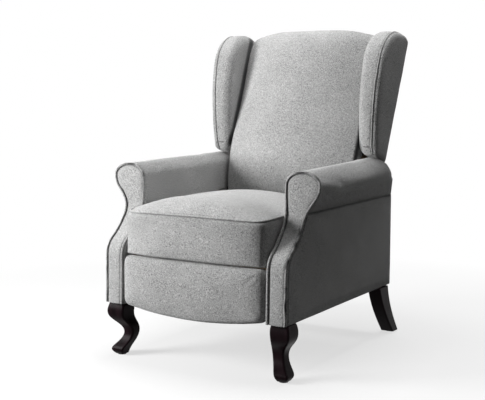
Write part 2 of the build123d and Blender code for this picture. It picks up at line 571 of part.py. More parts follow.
def build_mechanism():
    """Footrest linkage: plates on the arms, two parallelograms a side and a torque tube."""
    tight = PIN_RADIUS
    running = PIN_RADIUS + PIN_CLEARANCE
    loose = PIN_RADIUS + OPEN_PIN_CLEARANCE

    front = BODY_FRONT + PLATE_FRONT_SETBACK
    run = (front, front + PLATE_LENGTH)
    plate = block(PLATE_X, run, (PLATE_TOP - PLATE_DEPTH, PLATE_TOP))
    plate += slab(strip(DRIVE_PIVOT, REAR_PIVOT, PLATE_EYE_WIDTH), PLATE_X)
    plate -= block(PLATE_X, run, (PLATE_TOP, PLATE_TOP + PLATE_EYE_WIDTH))
    for pivot in (DRIVE_PIVOT, REAR_PIVOT):
        plate -= rod(pivot, tight, PLATE_X)
    bolts = []
    for y in bolt_places():
        hole = (y, bolt_height())
        plate -= rod(hole, BOLT_RADIUS, PLATE_X)
        head = rod(hole, BOLT_HEAD_RADIUS, (PLATE_X[0] - BOLT_HEAD, PLATE_X[0]))
        bolts.append(head + rod(hole, BOLT_RADIUS, (PLATE_X[0], PLY_IN + BOLT_LENGTH)))
    save_pair("mechanism_plate", plate)
    save_group("mechanism_bolts", bolts)

    pins = []
    for pivot in (DRIVE_PIVOT, REAR_PIVOT):
        shank = rod(pivot, PIN_RADIUS, (CARRIER_X[1], PLATE_X[1]))
        head = rod(pivot, PIN_HEAD_RADIUS, (CARRIER_X[0], CARRIER_X[1]))
        pins.append(shank + head)
    save_group("mechanism_pins", pins)

    drive_holes = [(DRIVE_PIVOT, running), (CONTROL_PIVOT, tight), (KNEE_PIVOT, tight)]
    save_pair("drive_link", link(DRIVE_PIVOT, KNEE_PIVOT, DRIVE_X, drive_holes))
    through = (CARRIER_X[0], DRIVE_X[1])
    save_group("drive_pins", [rod(pivot, PIN_RADIUS, through) for pivot in (CONTROL_PIVOT, KNEE_PIVOT)])
    across = (-DRIVE_X[0], DRIVE_X[0])
    tube = rod(TUBE_PLACE, TORQUE_TUBE_RADIUS, across)
    save("torque_tube", tube - rod(TUBE_PLACE, TORQUE_TUBE_RADIUS - TORQUE_TUBE_WALL, across))

    rear_holes = [(REAR_PIVOT, running), (TAIL_PIVOT, loose)]
    save_pair("rear_link", link(REAR_PIVOT, TAIL_PIVOT, DRIVE_X, rear_holes))

    carrier_holes = [(TAIL_PIVOT, tight), (KNEE_PIVOT, running), (FOOT_PIVOT, tight)]
    save_pair("carrier_link", link(TAIL_PIVOT, FOOT_PIVOT, CARRIER_X, carrier_holes))
    tail_pin = rod(TAIL_PIVOT, PIN_RADIUS, through)
    foot_pin = rod(FOOT_PIVOT, PIN_RADIUS, (BRACKET_X[0], CARRIER_X[1]))
    save_group("carrier_pins", [tail_pin, foot_pin])

    control_holes = [(CONTROL_PIVOT, running), (TILT_PIVOT, tight)]
    save_pair("control_link", link(CONTROL_PIVOT, TILT_PIVOT, CARRIER_X, control_holes))
    save_group("control_pins", [rod(TILT_PIVOT, PIN_RADIUS, (BRACKET_X[0], CARRIER_X[1]))])

    bracket = slab(strip(FOOT_PIVOT, TILT_PIVOT, FOOT_BRACKET_ARM), BRACKET_X)
    upright = (FOOT_PIVOT[1] - FOOT_BRACKET_BELOW, FOOT_PIVOT[1] + FOOT_BRACKET_ABOVE)
    edge = LINK_WIDTH / 2
    web_z = (FOOT_PIVOT[1] - edge, upright[1])
    bracket += block(BRACKET_X, (BOARD_BACK, TILT_PIVOT[0] + edge), web_z)
    arm_z = (FOOT_PIVOT[1] - edge, FOOT_PIVOT[1] + edge)
    bracket += block(BRACKET_X, (BOARD_BACK, FOOT_PIVOT[0]), arm_z)
    flange_x = (BRACKET_X[1] - FOOT_BRACKET_FLANGE, BRACKET_X[1])
    bracket += block(flange_x, (BOARD_BACK, BOARD_BACK + LINK_THICKNESS), upright)
    bracket -= rod(FOOT_PIVOT, running, BRACKET_X)
    bracket -= rod(TILT_PIVOT, loose, BRACKET_X)
    save_pair("footrest_bracket", bracket)


def panel_section(half_width, low, high):
    """Footrest section: rounded corners and a bottom edge that hangs lower in the middle."""
    corner = FOOTREST_CORNER
    inner = half_width - corner
    edges = [
        Line((-inner, high), (inner, high)),
        quarter((inner, high), (half_width, high - corner), (half_width, high)),
        Line((half_width, high - corner), (half_width, low + corner)),
        quarter((half_width, low + corner), (inner, low), (half_width, low)),
        ThreePointArc((inner, low), (0, low - FOOTREST_ARCH), (-inner, low)),
        quarter((-inner, low), (-half_width, low + corner), (-half_width, low)),
        Line((-half_width, low + corner), (-half_width, high - corner)),
        quarter((-half_width, high - corner), (-inner, high), (-half_width, high)),
    ]
    return make_face(edges)


def build_footrest():
    """Footrest board and its padded front."""
    half = ARM_IN - FOOTREST_GAP
    board_half = half - BOARD_MARGIN
    board = block(
        (-board_half, board_half),
        (BOARD_FRONT, BOARD_BACK),
        (FOOTREST_BOTTOM + BOARD_MARGIN, FOOTREST_TOP - BOARD_MARGIN),
    )
    save("footrest_board", board)
    sections = []
    for forward, inset, tuck in FOOTREST_STATIONS:
        face = panel_section(half - inset, FOOTREST_BOTTOM + tuck, FOOTREST_TOP - tuck)
        sections.append(front_plane(BOARD_FRONT - forward) * face)
    save("footrest_pad", loft(sections))


def build_seat():
    """Seat frame, webbing, runners in their slide rails, and the cushion with its front border."""
    half = ARM_IN - SEAT_FRAME_GAP
    deep = (SEAT_FRAME_FRONT, SEAT_FRAME_REAR)
    high = (SEAT_DECK - SEAT_TIMBER, SEAT_DECK)
    inner = half - SEAT_RAIL_WIDTH
    side = block((inner, half), deep, high)
    front = block((-inner, inner), (deep[0], deep[0] + SEAT_RAIL_WIDTH), high)
    rear = block((-inner, inner), (deep[1] - SEAT_RAIL_WIDTH, deep[1]), high)
    save("seat_frame", side, mirrored(side), front, rear)

    straps = []
    pitch = 2 * inner / SEAT_STRAPS
    for number in range(SEAT_STRAPS):
        x = (number - (SEAT_STRAPS - 1) / 2) * pitch
        limits = (x - STRAP_WIDTH / 2, x + STRAP_WIDTH / 2)
        straps.append(block(limits, deep, (SEAT_DECK, SEAT_DECK + STRAP_THICKNESS)))
    save("seat_webbing", *straps)

    rail_front = BODY_FRONT + SLIDE_SETBACK
    run = (rail_front, rail_front + SLIDE_LENGTH)
    middle = SEAT_DECK - SEAT_TIMBER / 2
    rail_z = (middle - SLIDE_HEIGHT / 2, middle + SLIDE_HEIGHT / 2)
    rail = block((PLY_IN - SLIDE_DEPTH, PLY_IN), run, rail_z)
    groove_z = (rail_z[0] + SLIDE_WALL, rail_z[1] - SLIDE_WALL)
    rail -= block((PLY_IN - SLIDE_DEPTH, PLY_IN - SLIDE_WALL), run, groove_z)
    save_group("slide_rails", [rail])
    runner_x = (half, PLY_IN - SLIDE_WALL - SLIDE_CLEARANCE)
    runner_z = (groove_z[0] + SLIDE_CLEARANCE, groove_z[1] - SLIDE_CLEARANCE)
    runner_y = (run[0] + SEAT_TRAVEL + SLIDE_END_ROOM, run[1])
    save_group("seat_runners", [block(runner_x, runner_y, runner_z)])

    middle_y = (BODY_FRONT + SEAT_REAR) / 2
    stations = [(BODY_FRONT, station) for station in SEAT_FRONT_STATIONS]
    stations.append((middle_y, SEAT_MIDDLE_STATION))
    stations += [(SEAT_REAR, station) for station in SEAT_REAR_STATIONS]
    sections = []
    for start, (place, inset, lift, shoulder_drop, crown_drop) in stations:
        side = SEAT_CROWN - shoulder_drop
        crown = SEAT_CROWN - crown_drop
        face = crowned(SEAT_HALF - inset, SEAT_BORDER_BOTTOM + lift, side, crown, SEAT_SHOULDER)
        sections.append(front_plane(start + place) * face)
    form = loft(sections)
    everywhere = (-ARM_OUT, ARM_OUT)
    under = (0, CUSHION_BOTTOM)
    cushion = form - block(everywhere, (BODY_FRONT - BODY_DEPTH, BODY_REAR), under)
    lip = (SEAT_REAR - SEAT_RAIL_WIDTH, SEAT_REAR + SEAT_LIP_LENGTH)
    lip_x = (SEAT_LIP_INSET - SEAT_HALF, SEAT_HALF - SEAT_LIP_INSET)
    cushion += block(lip_x, lip, (CUSHION_BOTTOM, CUSHION_BOTTOM + SEAT_LIP_HEIGHT))
    save("seat_cushion", cushion)
    save("seat_front", form & block(everywhere, (BODY_FRONT - BODY_DEPTH, SEAT_FRAME_FRONT), under))


def wing_outline():
    """Side view of a wing: bottom edge on the hinge's arc, then round the front and top."""
    pivot_forward = HINGE_TO_REAR_FACE * LEAN_COS
    pivot_height = -HINGE_TO_REAR_FACE * LEAN_SIN

    def on_swing(forward):
        rise = math.sqrt(WING_SWING_RADIUS ** 2 - (forward - pivot_forward) ** 2)
        return back_point(forward, pivot_height + rise)

    neck = on_swing(WING_NECK)
    chin, cheek, brow, shoulder, crown = [
        back_point(*p) for p in (WING_CHIN, WING_CHEEK, WING_BROW, WING_SHOULDER, WING_CROWN)
    ]
    top = back_point(0, BACK_HEIGHT)

    def between(start, end, out):
        return back_point((start[0] + end[0]) / 2 + out[0], (start[1] + end[1]) / 2 + out[1])

    brow_round = between(WING_BROW, WING_SHOULDER, WING_BROW_ROUND)
    top_round = between(WING_SHOULDER, WING_CROWN, WING_TOP_ROUND)
    crown_round = back_point(WING_CROWN[0] / 2, WING_CROWN[1] + WING_CROWN_ROUND)
    edges = [
        ThreePointArc(on_swing(0), on_swing(WING_NECK / 2), neck),
        TangentArc(chin, neck, tangent=back_direction(chin, cheek)),
        ThreePointArc(chin, cheek, brow),
        ThreePointArc(brow, brow_round, shoulder),
        ThreePointArc(shoulder, top_round, crown),
        ThreePointArc(crown, crown_round, top),
        Line(top, on_swing(0)),
    ]
    return make_face(edges)


def back_direction(start, end):
    """Direction from end towards start in the side view."""
    return (start[0] - end[0], start[1] - end[1])


def build_back():
    """Back frame, webbing, cushion, wings, outside back, brackets and hinges."""
    inner = BACK_IN - POST_WIDTH
    timber = (OUTSIDE_BACK, FRAME_FRONT)
    post = back_block((inner, BACK_IN), timber, (-BACK_DROP, BACK_HEIGHT))
    rails = [back_block((-inner, inner), timber, limits) for limits in BACK_RAIL_HEIGHTS]
    save("back_frame", post, mirrored(post), *rails)
    straps = []
    for height in BACK_STRAP_HEIGHTS:
        limits = (height - STRAP_WIDTH / 2, height + STRAP_WIDTH / 2)
        straps.append(back_block((-BACK_IN, BACK_IN), (FRAME_FRONT, FRAME_FRONT + STRAP_THICKNESS), limits))
    save("back_webbing", *straps)
    covered = (-OUTSIDE_BACK_DROP, BACK_HEIGHT)
    save("outside_back", back_block((-BACK_IN, BACK_IN), (0, OUTSIDE_BACK), covered))

    half = BACK_IN - CUSHION_SIDE_GAP
    stations = [(0, station) for station in BACK_LOW_STATIONS]
    stations += [(BACK_HEIGHT, station) for station in BACK_TOP_STATIONS]
    sections = []
    for start, (place, inset, side, crown) in stations:
        face = crowned(half - inset, BACK_LIP, FRAME_FRONT + side, FRAME_FRONT + crown, BACK_SHOULDER)
        sections.append(back_plane(start + place) * face)
    cushion = loft(sections)
    behind = (-ARM_OUT, ARM_OUT)
    cushion -= back_block(behind, (-BACK_TIMBER, FRAME_FRONT + STRAP_THICKNESS), (-BACK_HEIGHT, BACK_HEIGHT))
    save("back_cushion", cushion)

    outline = wing_outline()
    wing = slab(outline, (BACK_IN, WING_OUTER_HIGH + WING_ROUND))
    flare = math.atan2(WING_HIGH_WIDTH - WING_LOW_WIDTH, WING_HIGH_RISE - WING_LOW_RISE)
    low_edge = (WING_OUTER_LOW, 0, HINGE_HEIGHT + WING_LOW_RISE)
    outer = Plane(origin=low_edge, z_dir=(math.cos(flare), 0, -math.sin(flare)))
    wing = split(wing, bisect_by=outer, keep=Keep.BOTTOM)
    outside = wing.faces().sort_by(Axis.X)[-1]
    wing = fillet(outside.edges(), WING_ROUND)
    inside = wing.faces().sort_by(Axis.X)[0]
    wing = fillet(inside.edges().filter_by(GeomType.LINE, reverse=True), WING_INNER_ROUND)
    low, high = WING_TENON
    tenon = [back_point(0, low), back_point(2 * WING_BOARD_INSET, low)]
    tenon += [back_point(2 * WING_BOARD_INSET, high), back_point(0, high)]
    board_face = offset(outline, amount=-WING_BOARD_INSET, kind=Kind.INTERSECTION)
    board_face += make_face(Polyline(*tenon, close=True))
    board_in = BACK_IN + WING_BOARD_DEPTH
    board = slab(board_face, (board_in, board_in + WING_BOARD))
    save_pair("wing_board", board)
    save_pair("wing", wing - board)

    bracket_x = (BACK_IN, BACK_IN + HINGE_PLATE_THICKNESS)
    bracket = rod(HINGE, HINGE_EYE_RADIUS, bracket_x)
    bracket += back_block(bracket_x, timber, (0, BRACKET_TOP))
    corners = [back_point(FRAME_FRONT, 0), back_point(FRAME_FRONT, GUSSET_TOP)]
    eye_top = moved(HINGE, (0, HINGE_EYE_RADIUS))
    bracket += slab(make_face(Polyline(HINGE, *corners, eye_top, close=True)), bracket_x)
    bracket -= rod(HINGE, HINGE_PIN_RADIUS + PIN_CLEARANCE, bracket_x)
    save_pair("back_bracket", bracket)

    plate = block(
        (ARM_IN, PLY_IN),
        (HINGE[0] - HINGE_PLATE_REACH, HINGE[0] + HINGE_PLATE_REACH),
        (INNER_PAD_BOTTOM, ARM_SEAM_HEIGHT),
    )
    save_group("hinge_plates", [plate - rod(HINGE, HINGE_PIN_RADIUS, (ARM_IN, PLY_IN))])
    pin = rod(HINGE, HINGE_PIN_RADIUS, (BACK_IN, PLY_OUT))
    pin += rod(HINGE, HINGE_PIN_HEAD, (BACK_IN - HINGE_PLATE_THICKNESS, BACK_IN))
    save_group("hinge_pins", [pin])


os.makedirs("parts", exist_ok=True)
build_arms()
build_body()
build_legs()
build_mechanism()
build_footrest()
build_seat()
build_back()
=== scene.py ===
"""Wingback push-back recliner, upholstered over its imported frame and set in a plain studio."""
import json
import logging
import math
from collections.abc import Callable, Iterable, Sequence
from dataclasses import dataclass
from enum import Enum

import bpy
import numpy as np
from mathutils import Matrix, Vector
from mathutils.bvhtree import BVHTree
from mathutils.kdtree import KDTree


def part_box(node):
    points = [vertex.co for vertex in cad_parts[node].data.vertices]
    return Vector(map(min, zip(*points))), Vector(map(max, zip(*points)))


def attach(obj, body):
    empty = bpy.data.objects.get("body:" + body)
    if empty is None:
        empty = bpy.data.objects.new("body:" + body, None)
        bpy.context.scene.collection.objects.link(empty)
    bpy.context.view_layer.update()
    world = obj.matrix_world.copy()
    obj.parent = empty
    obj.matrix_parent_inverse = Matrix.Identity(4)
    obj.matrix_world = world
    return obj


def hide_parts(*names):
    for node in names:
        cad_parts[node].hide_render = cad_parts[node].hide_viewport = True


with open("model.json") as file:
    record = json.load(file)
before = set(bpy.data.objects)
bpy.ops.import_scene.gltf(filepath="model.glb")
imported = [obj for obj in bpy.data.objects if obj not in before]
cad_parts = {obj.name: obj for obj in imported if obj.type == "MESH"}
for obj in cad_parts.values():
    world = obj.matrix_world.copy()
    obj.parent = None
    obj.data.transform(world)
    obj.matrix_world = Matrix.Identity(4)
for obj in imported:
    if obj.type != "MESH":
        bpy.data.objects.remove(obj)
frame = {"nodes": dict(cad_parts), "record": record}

LOG = logging.getLogger("recliner")
# Vertex attribute that holds painted shade along seams, in creases and on the sides of cords.
PAINTED_SHADE_ATTRIBUTE = "painted_seam_shade"
Flat = tuple[float, float]
Point = tuple[float, float, float]
Colour = tuple[float, float, float]
Form = Callable[[np.ndarray], np.ndarray]
MIDDLE: Flat = (0.3, 0.7)
EVENING = 0.5
PUCKER_REACH = 1.6
HINGE: Flat = (0.165, 0.425)


class Body(str, Enum):
    """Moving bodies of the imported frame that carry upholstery."""

    BASE = "base"
    SEAT = "seat"
    BACK = "back"
    FOOTREST = "footrest"


class Side(Enum):
    """The sitter's two sides, with the sign of x on each."""

    LEFT = 1
    RIGHT = -1

    def node(self, stem: str) -> str:
        """Name of this side's node or piece."""
        return f"{stem}_{self.name.lower()}"


# Selecting, shaping and finishing a mesh


def pick(*objects: bpy.types.Object) -> None:
    """Selects these objects alone and makes the first one active."""
    bpy.ops.object.select_all(action="DESELECT")
    for obj in objects:
        obj.select_set(True)
    bpy.context.view_layer.objects.active = objects[0]


def edit_all(obj: bpy.types.Object) -> None:
    """Opens an object in edit mode with everything selected."""
    pick(obj)
    bpy.ops.object.mode_set(mode="EDIT")
    bpy.ops.mesh.select_all(action="SELECT")


def close_edit() -> None:
    """Goes back to object mode."""
    bpy.ops.object.mode_set(mode="OBJECT")


def coordinates(obj: bpy.types.Object) -> np.ndarray:
    """Vertex places of a mesh.

    Args:
        obj: Mesh object.

    Returns:
        An array with one row for each vertex.
    """
    flat = np.empty(len(obj.data.vertices) * 3, np.float32)
    obj.data.vertices.foreach_get("co", flat)
    return flat.reshape(-1, 3)


def place_vertices(obj: bpy.types.Object, places: np.ndarray) -> None:
    """Writes vertex places back to a mesh."""
    obj.data.vertices.foreach_set("co", places.astype(np.float32).ravel())
    obj.data.update()


def vertex_normals(obj: bpy.types.Object) -> np.ndarray:
    """Vertex normals of a mesh, one row each."""
    flat = np.empty(len(obj.data.vertices) * 3, np.float32)
    obj.data.vertices.foreach_get("normal", flat)
    return flat.reshape(-1, 3)


def apply_modifier(obj: bpy.types.Object, kind: str, **settings: object) -> None:
    """Adds a modifier, sets it and applies it.

    Args:
        obj: Mesh object.
        kind: Type of the modifier.
        settings: Properties of the modifier.
    """
    pick(obj)
    modifier = obj.modifiers.new(kind.lower(), kind)
    for name, value in settings.items():
        setattr(modifier, name, value)
    bpy.ops.object.modifier_apply(modifier=modifier.name)


def smooth(obj: bpy.types.Object, passes: int) -> None:
    """Evens out a mesh by a number of passes."""
    if passes:
        apply_modifier(obj, "SMOOTH", factor=0.5, iterations=passes)


def copy_nodes(name: str, *nodes: str) -> bpy.types.Object:
    """Makes one merged mesh from copies of CAD nodes.

    Args:
        name: Name of the new piece.
        nodes: CAD nodes to copy.

    Returns:
        The new object, which has no parent.
    """
    copies = []
    for node in nodes:
        twin = frame["nodes"][node].copy()
        twin.data = twin.data.copy()
        for key in list(twin.keys()):
            del twin[key]
        twin.parent = None
        bpy.context.scene.collection.objects.link(twin)
        copies.append(twin)
    pick(*copies)
    if len(copies) > 1:
        bpy.ops.object.join()
    piece = copies[0]
    piece.name = name
    piece.data.name = name
    piece.data.materials.clear()
    edit_all(piece)
    bpy.ops.mesh.remove_doubles(threshold=1e-6)
    close_edit()
    return piece


def mirror_copy(piece: bpy.types.Object, name: str) -> bpy.types.Object:
    """Makes the same piece for the other side of the chair.

    Args:
        piece: Finished piece of the left side.
        name: Name of the copy.

    Returns:
        The copy, with a mesh of its own.
    """
    pick(piece)
    bpy.ops.object.duplicate()
    twin = bpy.context.view_layer.objects.active
    for key in list(twin.keys()):
        del twin[key]
    twin.parent = None
    twin.name = name
    twin.data.name = name
    edit_all(twin)
    bpy.ops.transform.resize(value=(-1, 1, 1), center_override=(0, 0, 0))
    bpy.ops.mesh.normals_make_consistent(inside=False)
    close_edit()
    return twin


def dress(
    piece: bpy.types.Object, body: Body, nodes: Sequence[str] = ()
) -> None:
    """Gives a new piece its fabric and the body that it rides on, and hides the CAD nodes that it stands for.

    Args:
        piece: Finished mesh.
        body: Moving body that carries it.
        nodes: CAD nodes that it replaces.
    """
    piece.data.materials.clear()
    piece.data.materials.append(FABRIC.material())
    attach(piece, body.value)
    if nodes:
        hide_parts(*nodes)
    LOG.info("%s rides on %s", piece.name, body.value)


def dress_pair(
    stem: str,
    piece: bpy.types.Object,
    body: Body,
    nodes: Sequence[str] = (),
) -> None:
    """Dresses a piece of the left side and its mirrored copy on the right.

    Args:
        stem: Name of the piece without its side.
        piece: Finished mesh of the left side.
        body: Moving body that carries both.
        nodes: CAD nodes that it replaces, without their side.
    """
    twin = mirror_copy(piece, Side.RIGHT.node(stem))
    for side, skin in ((Side.LEFT, piece), (Side.RIGHT, twin)):
        dress(skin, body, [side.node(node) for node in nodes])


# Lines of the chair's shape


def arc_points(centre: Flat, radius: float, start: float, end: float, steps: int) -> list[Flat]:
    """Points on a circle from one angle to another, in degrees."""
    angles = np.radians(np.linspace(start, end, steps + 1))
    return [(centre[0] + radius * math.cos(a), centre[1] + radius * math.sin(a)) for a in angles]


def tangent_arc(start: Flat, heading: Flat, end: Flat, steps: int) -> tuple[list[Flat], Flat]:
    """Arc that leaves a point along a heading and reaches another point.

    Args:
        start: First point.
        heading: Direction at the first point.
        end: Last point.
        steps: Number of steps between them.

    Returns:
        The points after the first one, and the heading at the last one.
    """
    along = Vector(heading).normalized()
    left = Vector((-along.y, along.x))
    run = Vector(end) - Vector(start)
    radius = run.length_squared / (2 * run.dot(left))
    centre = Vector(start) + left * radius
    first = math.atan2(start[1] - centre.y, start[0] - centre.x)
    last = math.atan2(end[1] - centre.y, end[0] - centre.x)
    sweep = (last - first) % math.tau if radius > 0 else -((first - last) % math.tau)
    points = arc_points(centre, abs(radius), math.degrees(first), math.degrees(first + sweep), steps)
    turned = (
        along.x * math.cos(sweep) - along.y * math.sin(sweep),
        along.x * math.sin(sweep) + along.y * math.cos(sweep),
    )
    return points[1:], turned


def smooth_line(points: Sequence[Point], step: float) -> list[Vector]:
    """Even steps along a smooth line through points.

    Args:
        points: Places that the line passes through.
        step: Distance between the returned places.

    Returns:
        Places along the line.
    """
    places = [Vector(p) for p in points]
    padded = [2 * places[0] - places[1], *places, 2 * places[-1] - places[-2]]
    line = []
    for before, start, end, after in zip(padded, padded[1:], padded[2:], padded[3:]):
        count = max(2, round((end - start).length / step))
        for number in range(count):
            t = number / count
            bend = (2 * before - 5 * start + 4 * end - after) * t * t
            twist = (3 * start - before - 3 * end + after) * t ** 3
            line.append(0.5 * (2 * start + (end - before) * t + bend + twist))
    line.append(places[-1])
    return line


def ramp(values: np.ndarray, low: float, high: float) -> np.ndarray:
    """Share from 0 at the low value to 1 at the high value."""
    return np.clip((values - low) / (high - low), 0.0, 1.0)


# Soft pieces


@dataclass(frozen=True)
class Seam:
    """A sewn line on a padded piece: a narrow groove, with painted shade darkest at its bottom, and small gathers
    along it.
    """

    path: tuple[Point, ...]
    width: float = 0.010
    depth: float = 0.0025
    # Strength of the painted shade along the line; a line with no depth is painted shade alone.
    shade: float = 0.8
    gather: float = 0.0
    pitch: float = 0.011

    def find(self, places: np.ndarray) -> tuple[np.ndarray, np.ndarray]:
        """Measures places against the sewn line.

        Args:
            places: One row for each place.

        Returns:
            Each place's distance from the line, and how far along the line it is.
        """
        step = 0.003
        line = smooth_line(self.path, step)
        tree = KDTree(len(line))
        for number, point in enumerate(line):
            tree.insert(point, number)
        tree.balance()
        found = [tree.find(place) for place in places]
        return np.array([hit[2] for hit in found]), np.array([hit[1] * step for hit in found])


@dataclass(frozen=True)
class Padding:
    """How a piece is stuffed: mesh size, softness before filling, pressure, and the most it may swell."""

    voxel: float = 0.006
    soften: int = 4
    shrink: float = 0.004
    pressure: float = 4.0
    swell: float = 0.010
    settle: int = 2
    lumps: float = 0.0010
    lump_size: float = 0.11
    fill: float = 0.6
    ease: int = 6


def remesh(piece: bpy.types.Object, voxel: float) -> None:
    """Rebuilds a mesh as one even skin."""
    pick(piece)
    piece.data.remesh_voxel_size = voxel
    bpy.ops.object.voxel_remesh()


def evened(piece: bpy.types.Object, values: np.ndarray, share: np.ndarray | float, passes: int) -> np.ndarray:
    """Evens out values over a skin, each towards the mean of its neighbours.

    Args:
        piece: Even skin.
        values: One row for each vertex.
        share: How much each vertex takes part.
        passes: Number of passes.

    Returns:
        The evened values.
    """
    ends = np.empty(len(piece.data.edges) * 2, np.int32)
    piece.data.edges.foreach_get("vertices", ends)
    first, second = ends.reshape(-1, 2).T
    size = len(values)
    count = np.maximum(np.bincount(ends, minlength=size), 1)
    rows = values.reshape(size, -1).astype(float)
    share = np.broadcast_to(share, size)
    for _ in range(passes):
        for row in rows.T:
            around = np.bincount(first, row[second], size) + np.bincount(second, row[first], size)
            row += 0.5 * share * (around / count - row)
    return rows.reshape(values.shape)


def freedom(piece: bpy.types.Object, rests: Iterable[Point], passes: int) -> np.ndarray:
    """Finds which points of a skin may swell.

    Args:
        piece: Even skin of the piece.
        rests: Directions in which the piece rests on its neighbours or is nailed down.
        passes: How far the change from held to free is spread out.

    Returns:
        For each vertex a share from 0, held, to 1, free.
    """
    normals = vertex_normals(piece)
    free = np.ones(len(normals))
    for way in rests:
        free[normals @ np.array(way) > 0.75] = 0.0
    return evened(piece, free, 1.0, passes)


def stuff(piece: bpy.types.Object, padding: Padding, free: np.ndarray, seams: Iterable[Seam]) -> None:
    """Fills a piece by a cloth simulation under pressure, with its resting faces and seams held.

    Args:
        piece: Even skin of the piece.
        padding: Pressure and the most that a point may move.
        free: Share of each vertex that may swell.
        seams: Sewn lines that stay where they are.
    """
    start = coordinates(piece) - vertex_normals(piece) * (padding.shrink * free)[:, None]
    place_vertices(piece, start)
    fixed = free < 0.5
    for seam in seams:
        fixed |= seam.find(start)[0] < seam.width / 2
    held = piece.vertex_groups.new(name="held")
    held.add([int(number) for number in np.nonzero(fixed)[0]], 1.0, "REPLACE")
    pick(piece)
    modifier = piece.modifiers.new("filling", "CLOTH")
    settings = modifier.settings
    settings.quality = 4
    settings.mass = 0.25
    settings.tension_stiffness = 20
    settings.compression_stiffness = 20
    settings.shear_stiffness = 10
    settings.bending_stiffness = 2.0
    settings.use_pressure = True
    settings.uniform_pressure_force = padding.pressure
    settings.effector_weights.gravity = 0
    settings.vertex_group_mass = held.name
    modifier.point_cache.frame_start = 1
    modifier.point_cache.frame_end = 20
    for number in range(1, 21):
        bpy.context.scene.frame_set(number)
    bpy.ops.object.modifier_apply(modifier=modifier.name)
    bpy.context.scene.frame_set(1)
    piece.vertex_groups.clear()
    move = coordinates(piece) - start
    length = np.linalg.norm(move, axis=1, keepdims=True)
    place_vertices(piece, start + move * np.minimum(1.0, padding.swell / np.maximum(length, 1e-9)))


def loosen(piece: bpy.types.Object, padding: Padding) -> None:
    """Breaks up a too even skin with shallow lumps.

    Args:
        piece: Filled skin.
        padding: Height and size of the lumps.
    """
    clouds = bpy.data.textures.new(piece.name + "_lumps", "CLOUDS")
    clouds.noise_scale = padding.lump_size
    apply_modifier(piece, "DISPLACE", texture=clouds, strength=2 * padding.lumps, mid_level=0.5)
    bpy.data.textures.remove(clouds)


def mark_painted_shade(piece: bpy.types.Object, shade: np.ndarray) -> None:
    """Keeps a share of painted shade for each vertex, by which the fabric is darkened."""
    layer = piece.data.attributes.new(PAINTED_SHADE_ATTRIBUTE, "FLOAT", "POINT")
    layer.data.foreach_set("value", shade.astype(np.float32))


def sew(piece: bpy.types.Object, seams: Iterable[Seam]) -> None:
    """Sinks the skin along its sewn lines, gathers it there, and marks painted shade along them for the fabric.

    Args:
        piece: Finished skin.
        seams: Sewn lines on it.
    """
    places = coordinates(piece)
    normals = vertex_normals(piece)
    shade = np.zeros(len(places))
    for seam in seams:
        away, along = seam.find(places)
        near = np.exp(-((away / (seam.width / 2)) ** 2))
        # Painted shade: dark across the middle of the line, fading at its edges.
        dark = np.exp(-((away / (seam.width / 2)) ** 4))
        reach = np.exp(-((away / (PUCKER_REACH * seam.width)) ** 2))
        puckers = reach * np.cos(along * math.tau / seam.pitch)
        sink = seam.depth * (near + seam.gather * puckers)
        places -= normals * sink[:, None]
        shade = np.maximum(shade, seam.shade * dark)
    place_vertices(piece, places)
    mark_painted_shade(piece, shade)


def upholster(
    piece: bpy.types.Object,
    padding: Padding,
    rests: Sequence[Point],
    seams: Sequence[Seam] = (),
    room: tuple[Point, Point] | None = None,
    form: Form | None = None,
) -> bpy.types.Object:
    """Makes a padded piece from its start form.

    Args:
        piece: Start form, in the space of CAD nodes.
        padding: How it is stuffed.
        rests: Directions in which it rests on its neighbours and doesn't swell.
        seams: Sewn lines on it.
        room: Lowest and highest corner that it has to stay in.
        form: Moves the points of the even skin before it is filled.

    Returns:
        The finished skin, not yet dressed.
    """
    remesh(piece, padding.voxel)
    smooth(piece, padding.soften)
    if form:
        place_vertices(piece, form(coordinates(piece)))
    stuff(piece, padding, freedom(piece, rests, padding.ease), seams)
    loosen(piece, padding)
    smooth(piece, padding.settle)
    if room:
        place_vertices(piece, np.clip(coordinates(piece), room[0], room[1]))
    apply_modifier(piece, "SUBSURF", levels=1, render_levels=1)
    if seams:
        sew(piece, seams)
    pick(piece)
    bpy.ops.object.shade_smooth()
    return piece


